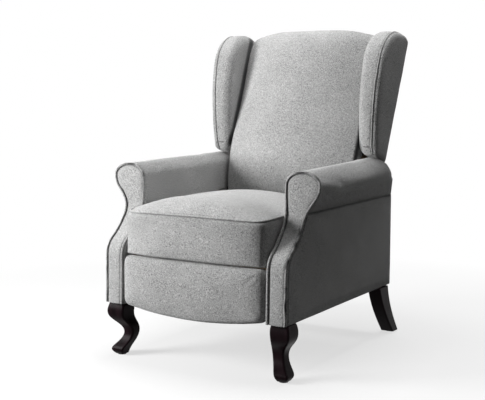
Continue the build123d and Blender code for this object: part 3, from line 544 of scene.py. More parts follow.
@dataclass(frozen=True)
class Piping:
    """Fabric-covered cord that is sewn into a seam; the groove's sizes count in radii of the cord."""

    radius: float = 0.0041
    proud: float = 0.0016
    step: float = 0.006
    evening: int = 6
    groove_width: float = 4.2
    groove_depth: float = 0.7
    # Strength of the painted shade in the groove and on the cord's sides, and the facing to the skin's outside over
    # which a side goes from painted shade to none.
    painted_groove_shade: float = 0.94
    painted_side_shade: float = 0.85
    lit_from: Flat = (-0.10, 0.50)

    def seam(self, path: Sequence[Point], gather: float = 0.0) -> Seam:
        """Groove that the cord lies in, with painted shade along it."""
        width, depth = self.groove_width * self.radius, self.groove_depth * self.radius
        return Seam(tuple(path), width, depth, self.painted_groove_shade, gather)

    def follow(self, path: Sequence[Point], host: bpy.types.Object) -> tuple[np.ndarray, np.ndarray]:
        """Draws a path onto a skin and evens it out.

        Args:
            path: Places that the cord passes through.
            host: Piece whose skin it lies on.

        Returns:
            Places along the cord's middle, and the way out of the skin at each of them.
        """
        tree = BVHTree.FromObject(host, bpy.context.evaluated_depsgraph_get())
        snapped, headings = [], []
        for place in smooth_line(path, self.step):
            skin, normal, _, _ = tree.find_nearest(place)
            snapped.append(skin + normal * self.proud)
            headings.append(normal)
        line, ways = np.array(snapped), np.array(headings)
        for _ in range(self.evening):
            for values in (line, ways):
                values[1:-1] += EVENING * ((values[:-2] + values[2:]) / 2 - values[1:-1])
        return line, ways

    def lay(self, name: str, path: Sequence[Point], host: bpy.types.Object) -> bpy.types.Object:
        """Lays the cord along a seam of a padded piece and paints shade on its sides that turn away from the skin's
        outside.

        Args:
            name: Name of the piping.
            path: Places that it passes through.
            host: Piece whose skin it lies on.

        Returns:
            The cord as a mesh.
        """
        line, ways = self.follow(path, host)
        bpy.ops.object.select_all(action="DESELECT")
        bpy.ops.curve.primitive_nurbs_path_add()
        cord = bpy.context.view_layer.objects.active
        cord.name = name
        spline = cord.data.splines[0]
        spline.points.add(len(line) - len(spline.points))
        for point, place in zip(spline.points, line):
            point.co = (*place, 1.0)
        spline.order_u = 4
        spline.use_endpoint_u = True
        spline.resolution_u = 1
        cord.data.bevel_depth = self.radius
        cord.data.bevel_resolution = 3
        cord.data.use_fill_caps = True
        pick(cord)
        bpy.ops.object.convert(target="MESH")
        bpy.ops.object.shade_smooth()
        cord.data.name = name
        # Painted shade on the sides of the cord that turn away from the skin's outside, as in the groove.
        nearest = [int(np.argmin(((line - place) ** 2).sum(axis=1))) for place in coordinates(cord)]
        facing = (vertex_normals(cord) * ways[nearest]).sum(axis=1)
        mark_painted_shade(cord, self.painted_side_shade * (1 - ramp(facing, *self.lit_from)))
        return cord


# Finishes


class NodeBoard:
    """Short way to add and join the shader nodes of one material."""

    def __init__(self, material: bpy.types.Material) -> None:
        """Clears the material's nodes and keeps its tree."""
        material.use_nodes = True
        self.tree = material.node_tree
        self.tree.nodes.clear()

    def add(self, kind: str, **values: object) -> bpy.types.Node:
        """Adds a node and sets its properties and inputs.

        Args:
            kind: Type of the node.
            values: Properties, or inputs by name with spaces as underscores; a socket is linked.

        Returns:
            The node.
        """
        node = self.tree.nodes.new(kind)
        for name, value in values.items():
            if hasattr(node, name):
                setattr(node, name, value)
                continue
            socket = node.inputs[int(name[5:])] if name.startswith("slot_") else node.inputs[name.replace("_", " ")]
            if isinstance(value, bpy.types.NodeSocket):
                self.tree.links.new(value, socket)
            else:
                socket.default_value = value
        return node

    def places(self) -> bpy.types.NodeSocket:
        """Object coordinates, which are the chair's own frame."""
        return self.add("ShaderNodeTexCoord").outputs["Object"]

    def blend(
        self, share: bpy.types.NodeSocket, low: Colour | bpy.types.NodeSocket, high: Colour
    ) -> bpy.types.NodeSocket:
        """Colour between two colours by a share."""
        mix = self.add("ShaderNodeMix", data_type="RGBA")
        self.tree.links.new(share, mix.inputs[0])
        if isinstance(low, bpy.types.NodeSocket):
            self.tree.links.new(low, mix.inputs[6])
        else:
            mix.inputs[6].default_value = (*low, 1.0)
        mix.inputs[7].default_value = (*high, 1.0)
        return mix.outputs[2]

    def spread(self, value: bpy.types.NodeSocket, low: float, high: float,
               bottom: float = 0.0, top: float = 1.0) -> bpy.types.NodeSocket:
        """Stretches a stretch of values onto another."""
        node = self.add("ShaderNodeMapRange", Value=value, From_Min=low, From_Max=high, To_Min=bottom, To_Max=top)
        return node.outputs[0]

    def math(self, operation: str, first: object, second: object) -> bpy.types.NodeSocket:
        """Result of a sum on two sockets or numbers."""
        return self.add("ShaderNodeMath", operation=operation, slot_0=first, slot_1=second).outputs[0]

    def noise(self, scale: float, detail: float = 3.0, stretch: Point = (1.0, 1.0, 1.0)) -> bpy.types.NodeSocket:
        """Noise over the object, stretched along the axes."""
        where = self.add("ShaderNodeMapping", Vector=self.places(), Scale=stretch).outputs[0]
        return self.add("ShaderNodeTexNoise", Vector=where, Scale=scale, Detail=detail).outputs["Fac"]

    def wave(self, direction: str, pitch: float) -> bpy.types.NodeSocket:
        """Ribs across one axis at a pitch in metres."""
        return self.add(
            "ShaderNodeTexWave", Vector=self.places(), bands_direction=direction,
            Scale=math.tau / (20 * pitch), Distortion=1.2, Detail=1.0,
        ).outputs["Fac"]

    def bump(self, height: bpy.types.NodeSocket, strength: float, distance: float) -> bpy.types.NodeSocket:
        """Normal from a height."""
        return self.add("ShaderNodeBump", Height=height, Strength=strength, Distance=distance).outputs[0]

    def surface(self, **values: object) -> None:
        """Ends the tree in a principled surface."""
        shader = self.add("ShaderNodeBsdfPrincipled", **values)
        self.add("ShaderNodeOutputMaterial", Surface=shader.outputs[0])


@dataclass(frozen=True)
class Finish:
    """A finish of the chair and the record's material slot that it stands for."""

    name: str
    slot: str

    def material(self) -> bpy.types.Material:
        """The finish's material, made once."""
        found = bpy.data.materials.get(self.name)
        if found is None:
            found = bpy.data.materials.new(self.name)
            self.draw(NodeBoard(found))
        return found

    def draw(self, board: NodeBoard) -> None:
        """Builds the shader nodes."""
        raise NotImplementedError


@dataclass(frozen=True)
class MelangeWeave(Finish):
    """Grey melange upholstery weave: light and dark yarns, a fine crossing weave, a soft sheen, and painted shade
    along seams and creases.
    """

    name: str = "grey_melange_weave"
    slot: str = "upholstery"
    dark: Colour = (0.10, 0.10, 0.10)
    light: Colour = (0.73, 0.73, 0.725)
    # Colour of the painted shade along seams, in creases and on the sides of cords.
    groove: Colour = (0.012, 0.012, 0.012)
    fleck: float = 0.0020
    fleck_height: float = 2.0
    patch_scale: float = 9.0
    patch_share: float = 0.05
    yarn: float = 0.0017
    relief: Flat = (0.35, 0.0007)
    roughness: Flat = (0.98, 0.86)
    specular: float = 0.12
    sheen: Flat = (0.5, 0.4)

    def draw(self, board: NodeBoard) -> None:
        """Builds the shader nodes."""
        flecks = board.noise(1 / self.fleck, 3.0)
        patches = board.spread(board.noise(self.patch_scale, 2.0), *MIDDLE, -self.patch_share, self.patch_share)
        share = board.math("ADD", board.spread(flecks, *MIDDLE), patches)
        ribs = [board.wave(axis, self.yarn) for axis in "XYZ"]
        weave = board.math("ADD", board.math("ADD", ribs[0], ribs[1]), ribs[2])
        height = board.math("ADD", weave, board.math("MULTIPLY", flecks, self.fleck_height))
        # Share of painted shade that the piece marks, mixing the weave towards the painted shade colour.
        seams = board.add("ShaderNodeAttribute", attribute_name=PAINTED_SHADE_ATTRIBUTE).outputs["Fac"]
        board.surface(
            Base_Color=board.blend(seams, board.blend(share, self.dark, self.light), self.groove),
            Roughness=board.spread(flecks, *MIDDLE, *self.roughness),
            Normal=board.bump(height, *self.relief),
            Specular_IOR_Level=self.specular,
            Sheen_Weight=self.sheen[0],
            Sheen_Roughness=self.sheen[1],
        )


@dataclass(frozen=True)
class Grained(Finish):
    """A finish whose colour, gloss and relief follow one grain: its scale and detail, and its stretch."""

    grain: Flat = (100.0, 5.0)
    stretch: Point = (1.0, 1.0, 1.0)
    contrast: Flat = MIDDLE
    dark: Colour = (0.0, 0.0, 0.0)
    light: Colour = (1.0, 1.0, 1.0)
    wear: Flat | None = None
    roughness: Flat = (0.5, 0.5)
    relief: Flat = (0.1, 0.0003)
    metallic: float = 0.0
    specular: float = 0.5

    def draw(self, board: NodeBoard) -> None:
        """Builds the shader nodes."""
        grain = board.noise(*self.grain, self.stretch)
        wear = board.noise(*self.wear) if self.wear else grain
        board.surface(
            Base_Color=board.blend(board.spread(grain, *self.contrast), self.dark, self.light),
            Roughness=board.spread(wear, *MIDDLE, *self.roughness),
            Normal=board.bump(grain, *self.relief),
            Metallic=self.metallic,
            Specular_IOR_Level=self.specular,
        )


@dataclass(frozen=True)
class LegLacquer(Grained):
    """Dark espresso lacquer over close-grained wood."""

    name: str = "espresso_lacquer"
    slot: str = "leg_lacquer"
    grain: Flat = (60.0, 5.0)
    stretch: Point = (1.0, 1.0, 0.12)
    contrast: Flat = (0.35, 0.7)
    dark: Colour = (0.0045, 0.0018, 0.0026)
    light: Colour = (0.012, 0.0055, 0.0075)
    wear: Flat | None = (14.0, 3.0)
    roughness: Flat = (0.28, 0.38)
    relief: Flat = (0.10, 0.0004)
    specular: float = 0.035


@dataclass(frozen=True)
class RawTimber(Grained):
    """Bare timber and plywood of the hidden frame."""

    name: str = "raw_timber"
    slot: str = "frame_timber"
    grain: Flat = (70.0, 5.0)
    stretch: Point = (1.0, 0.10, 1.0)
    dark: Colour = (0.46, 0.31, 0.18)
    light: Colour = (0.72, 0.56, 0.38)
    roughness: Flat = (0.75, 0.6)
    relief: Flat = (0.2, 0.0008)


@dataclass(frozen=True)
class BlackSteel(Grained):
    """Black satin paint on the mechanism, with faint scuffs."""

    name: str = "mechanism_black"
    slot: str = "mechanism_steel"
    grain: Flat = (120.0, 6.0)
    contrast: Flat = (0.4, 0.75)
    dark: Colour = (0.05, 0.05, 0.053)
    light: Colour = (0.09, 0.09, 0.093)
    roughness: Flat = (0.34, 0.5)
    relief: Flat = (0.08, 0.0003)


@dataclass(frozen=True)
class ZincPlate(BlackSteel):
    """Zinc plate on bolts and pins, with the same scuffs."""

    name: str = "zinc_plate"
    slot: str = "fastener_steel"
    dark: Colour = (0.55, 0.56, 0.57)
    light: Colour = (0.68, 0.69, 0.70)
    roughness: Flat = (0.28, 0.42)
    metallic: float = 1.0


@dataclass(frozen=True)
class GlidePlastic(Grained):
    """Moulded plastic of the glides, dulled by the floor."""

    name: str = "glide_plastic"
    slot: str = "glide_plastic"
    grain: Flat = (200.0, 4.0)
    contrast: Flat = (0.4, 0.8)
    dark: Colour = (0.035, 0.035, 0.035)
    light: Colour = (0.08, 0.08, 0.08)
    roughness: Flat = (0.45, 0.7)
    relief: Flat = (0.1, 0.0003)


@dataclass(frozen=True)
class StrapWeave(Finish):
    """Dark elastic webbing with ribs across it."""

    name: str = "elastic_webbing"
    slot: str = "webbing"
    dark: Colour = (0.05, 0.05, 0.055)
    light: Colour = (0.14, 0.14, 0.15)
    rib: float = 0.003
    contrast: Flat = (0.2, 1.8)
    roughness: Flat = (0.9, 0.75)
    relief: Flat = (0.3, 0.0008)

    def draw(self, board: NodeBoard) -> None:
        """Builds the shader nodes."""
        ribs = board.math("ADD", board.wave("X", self.rib), board.wave("Y", self.rib))
        board.surface(
            Base_Color=board.blend(board.spread(ribs, *self.contrast), self.dark, self.light),
            Roughness=board.spread(ribs, 0.0, 2.0, *self.roughness),
            Normal=board.bump(ribs, *self.relief),
        )


FABRIC = MelangeWeave()
FRAME_FINISHES = (LegLacquer(), RawTimber(), BlackSteel(), ZincPlate(), StrapWeave(), GlidePlastic())


# Sub-assemblies


LEFTWARD, RIGHTWARD = (1.0, 0.0, 0.0), (-1.0, 0.0, 0.0)
FORWARD, REARWARD = (0.0, -1.0, 0.0), (0.0, 1.0, 0.0)
UPWARD, DOWNWARD = (0.0, 0.0, 1.0), (0.0, 0.0, -1.0)


def add_block(piece: bpy.types.Object, middle: Point, size: Point, lean: float = 0.0) -> None:
    """Joins a plain block to a start form.

    Args:
        piece: Start form.
        middle: Middle of the block.
        size: Width, depth and height of the block.
        lean: Degrees that the block leans back.
    """
    bpy.ops.object.select_all(action="DESELECT")
    turn = (-math.radians(lean), 0.0, 0.0)
    bpy.ops.mesh.primitive_cube_add(size=1, location=middle, rotation=turn, scale=size)
    block = bpy.context.view_layer.objects.active
    pick(piece, block)
    bpy.ops.object.join()


def cut_off(piece: bpy.types.Object, y: float, keep_front: bool) -> None:
    """Cuts a piece across at a depth.

    Args:
        piece: Start form.
        y: Depth of the cut.
        keep_front: Whether what is before the cut stays, or else what is behind it.
    """
    edit_all(piece)
    bpy.ops.mesh.bisect(
        plane_co=(0, y, 0), plane_no=(0, 1, 0), use_fill=True, clear_outer=keep_front, clear_inner=not keep_front
    )
    close_edit()


def round_over(piece: bpy.types.Object, share: np.ndarray, passes: int) -> None:
    """Rounds the part of an even skin that a share marks."""
    place_vertices(piece, evened(piece, coordinates(piece), share, passes))


def from_hinge(places: np.ndarray) -> tuple[np.ndarray, np.ndarray]:
    """Finds how places lie round the back's hinge in the side view.

    Args:
        places: One row for each place.

    Returns:
        The way from the hinge to each place, one long, and the distance.
    """
    away = places[:, 1:] - np.array(HINGE)
    length = np.linalg.norm(away, axis=1)
    return away / length[:, None], length


@dataclass
class Arm:
    """Scroll arm: side cover, rolled top with its inside cover, and the piped S-shaped front panel."""

    belly_setback: float = 0.004
    belly_height: float = 0.312
    waist_setback: float = 0.030
    waist_height: float = 0.361
    neck_setback: float = 0.110
    panel_depth: float = 0.016
    roll_drop: float = 0.010
    roll_round: float = 0.040
    roll_flank: Flat = (0.28, 0.476)
    roll_start: float = 0.006
    disc_depth: float = 0.014
    curve_steps: int = 8
    inner_margin: float = 0.0055
    return_room: Flat = (0.2468, 0.2530)
    return_depth: Flat = (0.007, 0.055)
    return_top: float = 0.385
    return_overlap: float = 0.004
    rear_start: float = 0.06
    rear_band: Flat = (0.150, 0.170)
    rear_push: float = 0.0025
    tuck: float = 0.006
    tuck_band: Flat = (0.025, 0.004)
    panel_padding: Padding = Padding(
        voxel=0.0045, soften=7, shrink=0.002, pressure=3.0, swell=0.006, settle=1,
        lumps=0.0005, lump_size=0.06, fill=0.7,
    )
    roll_padding: Padding = Padding(
        voxel=0.006, soften=2, shrink=0.002, pressure=3.0, swell=0.004, settle=6,
        lumps=0.0009, lump_size=0.12, fill=0.7,
    )
    side_padding: Padding = Padding(
        voxel=0.006, soften=1, shrink=0.001, pressure=2.0, swell=0.003, settle=1,
        lumps=0.0007, lump_size=0.15, fill=0.7,
    )
    piping: Piping = Piping()

    def __post_init__(self) -> None:
        """Reads the arm's planes from the frame."""
        low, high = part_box("arm_front_left")
        self.inner, self.outer = low.x, high.x
        self.front, self.foot, self.seam = low.y, low.z, high.z
        roll_low, roll_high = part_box("arm_roll_left")
        self.roll_front, self.roll_rear = roll_low.y, roll_high.y
        self.roll_outer, self.roll_top = roll_high.x, roll_high.z - self.roll_drop

    def front_curve(self) -> list[Flat]:
        """Draws the S curve of the arm front.

        Returns:
            Its points in the side view, from foot to neck.
        """
        foot = (self.front, self.foot)
        belly = (self.front + self.belly_setback, self.belly_height)
        waist = (self.front + self.waist_setback, self.waist_height)
        neck = (self.front + self.neck_setback, self.seam)
        heading = (belly[0] - foot[0], belly[1] - foot[1])
        middle = ((foot[0] + belly[0]) / 2, (foot[1] + belly[1]) / 2)
        lower, turned = tangent_arc(belly, heading, waist, self.curve_steps)
        upper, _ = tangent_arc(waist, turned, neck, self.curve_steps)
        return [foot, middle, belly, *lower, *upper]

    def disc_curve(self) -> list[Flat]:
        """Draws the outline of the roll's front disc.

        Returns:
            Its points in the front view, from the inner neck over the top to the outer neck.
        """
        low = self.roll_top - self.roll_round
        half = (self.roll_outer - self.inner) / 2
        turns = np.linspace(math.pi, 0, 2 * self.curve_steps + 1)
        over = [(self.inner + half + half * math.cos(t), low + self.roll_round * math.sin(t)) for t in turns]
        across, down = self.roll_flank
        flank = (self.roll_outer - across * (self.roll_outer - self.outer), low - down * (low - self.seam))
        under, _ = tangent_arc(over[-1], (0, -1), flank, self.curve_steps // 2)
        between = ((flank[0] + self.outer) / 2, (flank[1] + self.seam) / 2)
        return [(self.inner, (self.seam + low) / 2), *over, *under, between]

    def edge_line(self) -> list[Point]:
        """Draws the line of the piping.

        Returns:
            Its places up the inner edge of the front, round the disc and down the outer edge.
        """
        rise = [(self.inner + self.inner_margin, y, z) for y, z in self.front_curve()]
        disc = [(x, self.roll_front, z) for x, z in self.disc_curve()]
        fall = [(self.outer, y, z) for y, z in reversed(self.front_curve())]
        return [*rise[:-2], *disc, *fall[2:]]

    def front_start(self) -> bpy.types.Object:
        """Makes the start of the front panel.

        Returns:
            The facing, a slice of the roll's front, and a short return on the inside.
        """
        disc = copy_nodes("arm_disc", "arm_roll_left", "arm_rail_left")
        cut_off(disc, self.roll_front + self.disc_depth, True)
        facing = copy_nodes("arm_panel_left", "arm_front_left")
        pick(facing, disc)
        bpy.ops.object.join()
        near, far = self.return_room
        curve = self.front_curve()
        for (y, z), (next_y, top) in zip(curve, curve[1:]):
            if top < self.return_top:
                low = Vector((near, max(y, next_y) + self.return_depth[0], z))
                high = Vector((far, max(y, next_y) + self.return_depth[1], top + self.return_overlap))
                add_block(facing, (low + high) / 2, high - low)
        return facing

    def reach_back(self, places: np.ndarray) -> np.ndarray:
        """Brings the roll's rear end close to the wing that swings past it.

        Args:
            places: Points of the roll's skin.

        Returns:
            The moved points.
        """
        ways, length = from_hinge(places)
        push = self.rear_push * ramp(length, *self.rear_band) * (places[:, 1] > HINGE[0] - self.rear_start)
        places[:, 1:] += ways * push[:, None]
        return places

    def tuck_under(self, places: np.ndarray) -> np.ndarray:
        """Raises the side cover's top edge under the roll."""
        places[:, 2] += self.tuck * ramp(places[:, 2], self.seam - self.tuck_band[0], self.seam - self.tuck_band[1])
        return places

    def build_roll(self) -> bpy.types.Object:
        """Makes the rolled top.

        Returns:
            The roll with the inside of the arm, behind the front panel.
        """
        start = copy_nodes("arm_roll_cover_left", "arm_roll_left", "arm_rail_left", "inner_arm_pad_left")
        cut_off(start, self.roll_front + self.roll_start, False)
        ends = ((self.outer, self.roll_front, self.seam), (self.outer, self.roll_rear, self.seam))
        # Painted shade along the crease under the roll, without a groove.
        crease = Seam(ends, width=0.007, depth=0.0)
        rests = (FORWARD, REARWARD, DOWNWARD, RIGHTWARD)
        return upholster(start, self.roll_padding, rests, (crease,), form=self.reach_back)

    def build_side(self) -> bpy.types.Object:
        """Makes the side cover.

        Returns:
            The flat outside of the arm.
        """
        border = tuple((self.outer, y + self.panel_depth, z) for y, z in self.front_curve())
        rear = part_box("side_panel_left")[1].y
        top = Seam((border[-1], (self.outer, rear, self.seam)), width=0.006, depth=0.0)
        # Painted shade along the side cover's front border, which also sinks half a millimetre, and along its top
        # edge under the roll.
        seams = (Seam(border, width=0.008, depth=0.0005), top)
        rests = (RIGHTWARD, FORWARD, REARWARD, UPWARD, DOWNWARD)
        start = copy_nodes("side_cover_left", "side_panel_left")
        return upholster(start, self.side_padding, rests, seams, form=self.tuck_under)

    def build(self) -> None:
        """Makes both arms."""
        edge = self.edge_line()
        rests = (LEFTWARD, RIGHTWARD, REARWARD, DOWNWARD)
        panel = upholster(self.front_start(), self.panel_padding, rests, (self.piping.seam(edge),))
        roll = self.build_roll()
        cover = self.build_side()
        cord = self.piping.lay("arm_piping_left", edge, panel)
        dress_pair("arm_panel", panel, Body.BASE, ("arm_front",))
        dress_pair("arm_roll_cover", roll, Body.BASE, ("arm_roll", "inner_arm_pad"))
        dress_pair("side_cover", cover, Body.BASE, ("side_panel",))
        dress_pair("arm_piping", cord, Body.BASE)


@dataclass
class Seat:
    """Seat cushion with its front border in one, piped along the top edge of the border."""

    seam_height: float = 0.452
    seam_front: float = -0.408
    seam_marks: tuple[Point, ...] = (
        (0.0, 0.190, 0.457), (0.0, 0.050, 0.455), (0.008, 0.020, 0.453), (0.030, 0.004, 0.452),
    )
    seam_swell: float = 0.001
    bow: float = 0.016
    bow_start: float = 0.10
    bow_depth: Flat = (0.320, 0.385)
    dome: tuple[Flat, ...] = (
        (-0.405, 0.0), (-0.36, 0.010), (-0.28, 0.015), (-0.15, 0.010), (0.0, -0.002), (0.12, -0.006),
    )
    dome_power: int = 6
    dome_band: Flat = (0.01, 0.02)
    lip: float = 0.0015
    lip_band: Flat = (0.004, 0.02)
    corner_round: int = 10
    corner_across: Flat = (0.16, 0.21)
    corner_depth: Flat = (0.34, 0.38)
    corner_foot: Flat = (0.004, 0.012)
    corner_top: float = 0.012
    boxing: tuple[Point, Point] = ((0.216, -0.388, 0.326), (0.2430, -0.322, 0.396))
    rear_corner: tuple[Point, Point] = ((0.180, 0.080, 0.392), (0.232, 0.182, 0.407))
    arm_gap: float = 0.0015
    room_before: float = 0.004
    room_below: float = 0.0022
    room_above: float = 0.024
    padding: Padding = Padding(
        voxel=0.006, soften=2, shrink=0.003, pressure=4.0, swell=0.006, settle=1,
        lumps=0.0010, lump_size=0.14,
        fill=0.65, ease=12,
    )
    piping: Piping = Piping(radius=0.0034, proud=0.0012)

    def __post_init__(self) -> None:
        """Reads the cushion's half width and the border's foot from the frame."""
        self.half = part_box("seat_cushion")[1].x
        self.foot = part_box("seat_front")[0].z

    def seam_line(self) -> list[Point]:
        """Draws the seam between the border and the top.

        Returns:
            Its places from one arm round the front to the other.
        """
        front = self.seam_front
        right = [(inset - self.half, front + behind, height) for inset, behind, height in self.seam_marks]
        right.append((-self.half / 2, front, self.seam_height))
        left = [(-x, y, z) for x, y, z in reversed(right)]
        line = np.array([*right, (0.0, front - self.seam_swell, self.seam_height), *left])
        return [tuple(place) for place in self.bowed(line)]

    def bowed(self, places: np.ndarray) -> np.ndarray:
        """Draws the front back towards its two ends.

        Args:
            places: Points of the seat's skin or seam.

        Returns:
            The moved points.
        """
        ends = ramp(np.abs(places[:, 0]), self.bow_start, self.half) ** 2
        places[:, 1] += self.bow * ends * ramp(-places[:, 1], *self.bow_depth)
        return places

    def domed(self, places: np.ndarray) -> np.ndarray:
        """Bows the front, raises the middle of the top and brings the border's foot close to the footrest.

        Args:
            places: Points of the seat's skin.

        Returns:
            The moved points.
        """
        across = 1 - ramp(np.abs(places[:, 0]), 0.0, self.half) ** self.dome_power
        along = np.interp(places[:, 1], *np.array(self.dome).T)
        below, above = self.dome_band
        places[:, 2] += across * along * ramp(places[:, 2], self.seam_height - below, self.seam_height + above)
        low, high = self.lip_band
        places[:, 2] -= self.lip * (1 - ramp(places[:, 2], self.foot + low, self.foot + high))
        return self.bowed(places)

    def seat_start(self) -> bpy.types.Object:
        """Makes the start of the seat.

        Returns:
            Cushion and border, with the boxing along the front of its sides and its two rear corners.
        """
        cushion = copy_nodes("seat_cushion_cover", "seat_cushion", "seat_front")
        for low, high in (self.boxing, self.rear_corner):
            middle = (Vector(low) + Vector(high)) / 2
            for side in Side:
                add_block(cushion, (side.value * middle.x, middle.y, middle.z), Vector(high) - Vector(low))
        remesh(cushion, self.padding.voxel)
        places = coordinates(cushion)
        share = ramp(np.abs(places[:, 0]), *self.corner_across) * ramp(-places[:, 1], *self.corner_depth)
        share *= 1 - ramp(places[:, 2], self.seam_height - self.corner_top, self.seam_height)
        share *= ramp(places[:, 2], self.foot + self.corner_foot[0], self.foot + self.corner_foot[1])
        round_over(cushion, share, self.corner_round)
        return cushion

    def build(self) -> None:
        """Makes the seat."""
        low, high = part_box("seat_cushion")
        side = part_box("arm_front_left")[0].x - self.arm_gap
        line = self.seam_line()
        room = (
            (-side, low.y - self.room_before, self.foot - self.room_below),
            (side, high.y, high.z + self.room_above),
        )
        rests = (LEFTWARD, RIGHTWARD, REARWARD, DOWNWARD)
        cushion = upholster(self.seat_start(), self.padding, rests, (self.piping.seam(line),), room, self.domed)
        cord = self.piping.lay("seat_piping", line, cushion)
        dress(cushion, Body.SEAT, ("seat_cushion", "seat_front"))
        dress(cord, Body.SEAT)


@dataclass
class Footrest:
    """Padded footrest panel under the seat border, with the cover drawn round its board."""

    bow: float = 0.001
    bow_start: float = 0.16
    lip: float = 0.0015
    lip_band: Flat = (0.02, 0.004)
    end_round: int = 4
    end_across: Flat = (0.19, 0.225)
    end_depth: Flat = (0.375, 0.395)
    end_reach: float = 0.002
    reach_start: float = 0.21
    reach_margin: float = 0.004
    padding: Padding = Padding(
        voxel=0.005, soften=2, shrink=0.002, pressure=4.0, swell=0.008, settle=1,
        lumps=0.0009, lump_size=0.10,
        fill=0.6, ease=10,
    )

    def bowed(self, places: np.ndarray) -> np.ndarray:
        """Draws the front back towards its two ends, and brings top and ends close to their neighbours.

        Args:
            places: Points of the footrest's skin.

        Returns:
            The moved points.
        """
        low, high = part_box("footrest_pad")
        ends = ramp(np.abs(places[:, 0]), self.bow_start, high.x) ** 2
        places[:, 1] += self.bow * ends * ramp(-places[:, 1], -high.y, -low.y)
        places[:, 2] += self.lip * ramp(places[:, 2], high.z - self.lip_band[0], high.z - self.lip_band[1])
        outward = ramp(np.abs(places[:, 0]), self.reach_start, high.x - self.reach_margin)
        places[:, 0] += np.sign(places[:, 0]) * self.end_reach * outward
        return places

    def build(self) -> None:
        """Makes the footrest pad."""
        rests = (LEFTWARD, RIGHTWARD, REARWARD, UPWARD, DOWNWARD)
        nodes = ("footrest_pad", "footrest_board")
        start = copy_nodes("footrest_cover", *nodes)
        remesh(start, self.padding.voxel)
        places = coordinates(start)
        share = ramp(np.abs(places[:, 0]), *self.end_across) * ramp(-places[:, 1], *self.end_depth)
        round_over(start, share, self.end_round)
        dress(upholster(start, self.padding, rests, form=self.bowed), Body.FOOTREST, nodes)


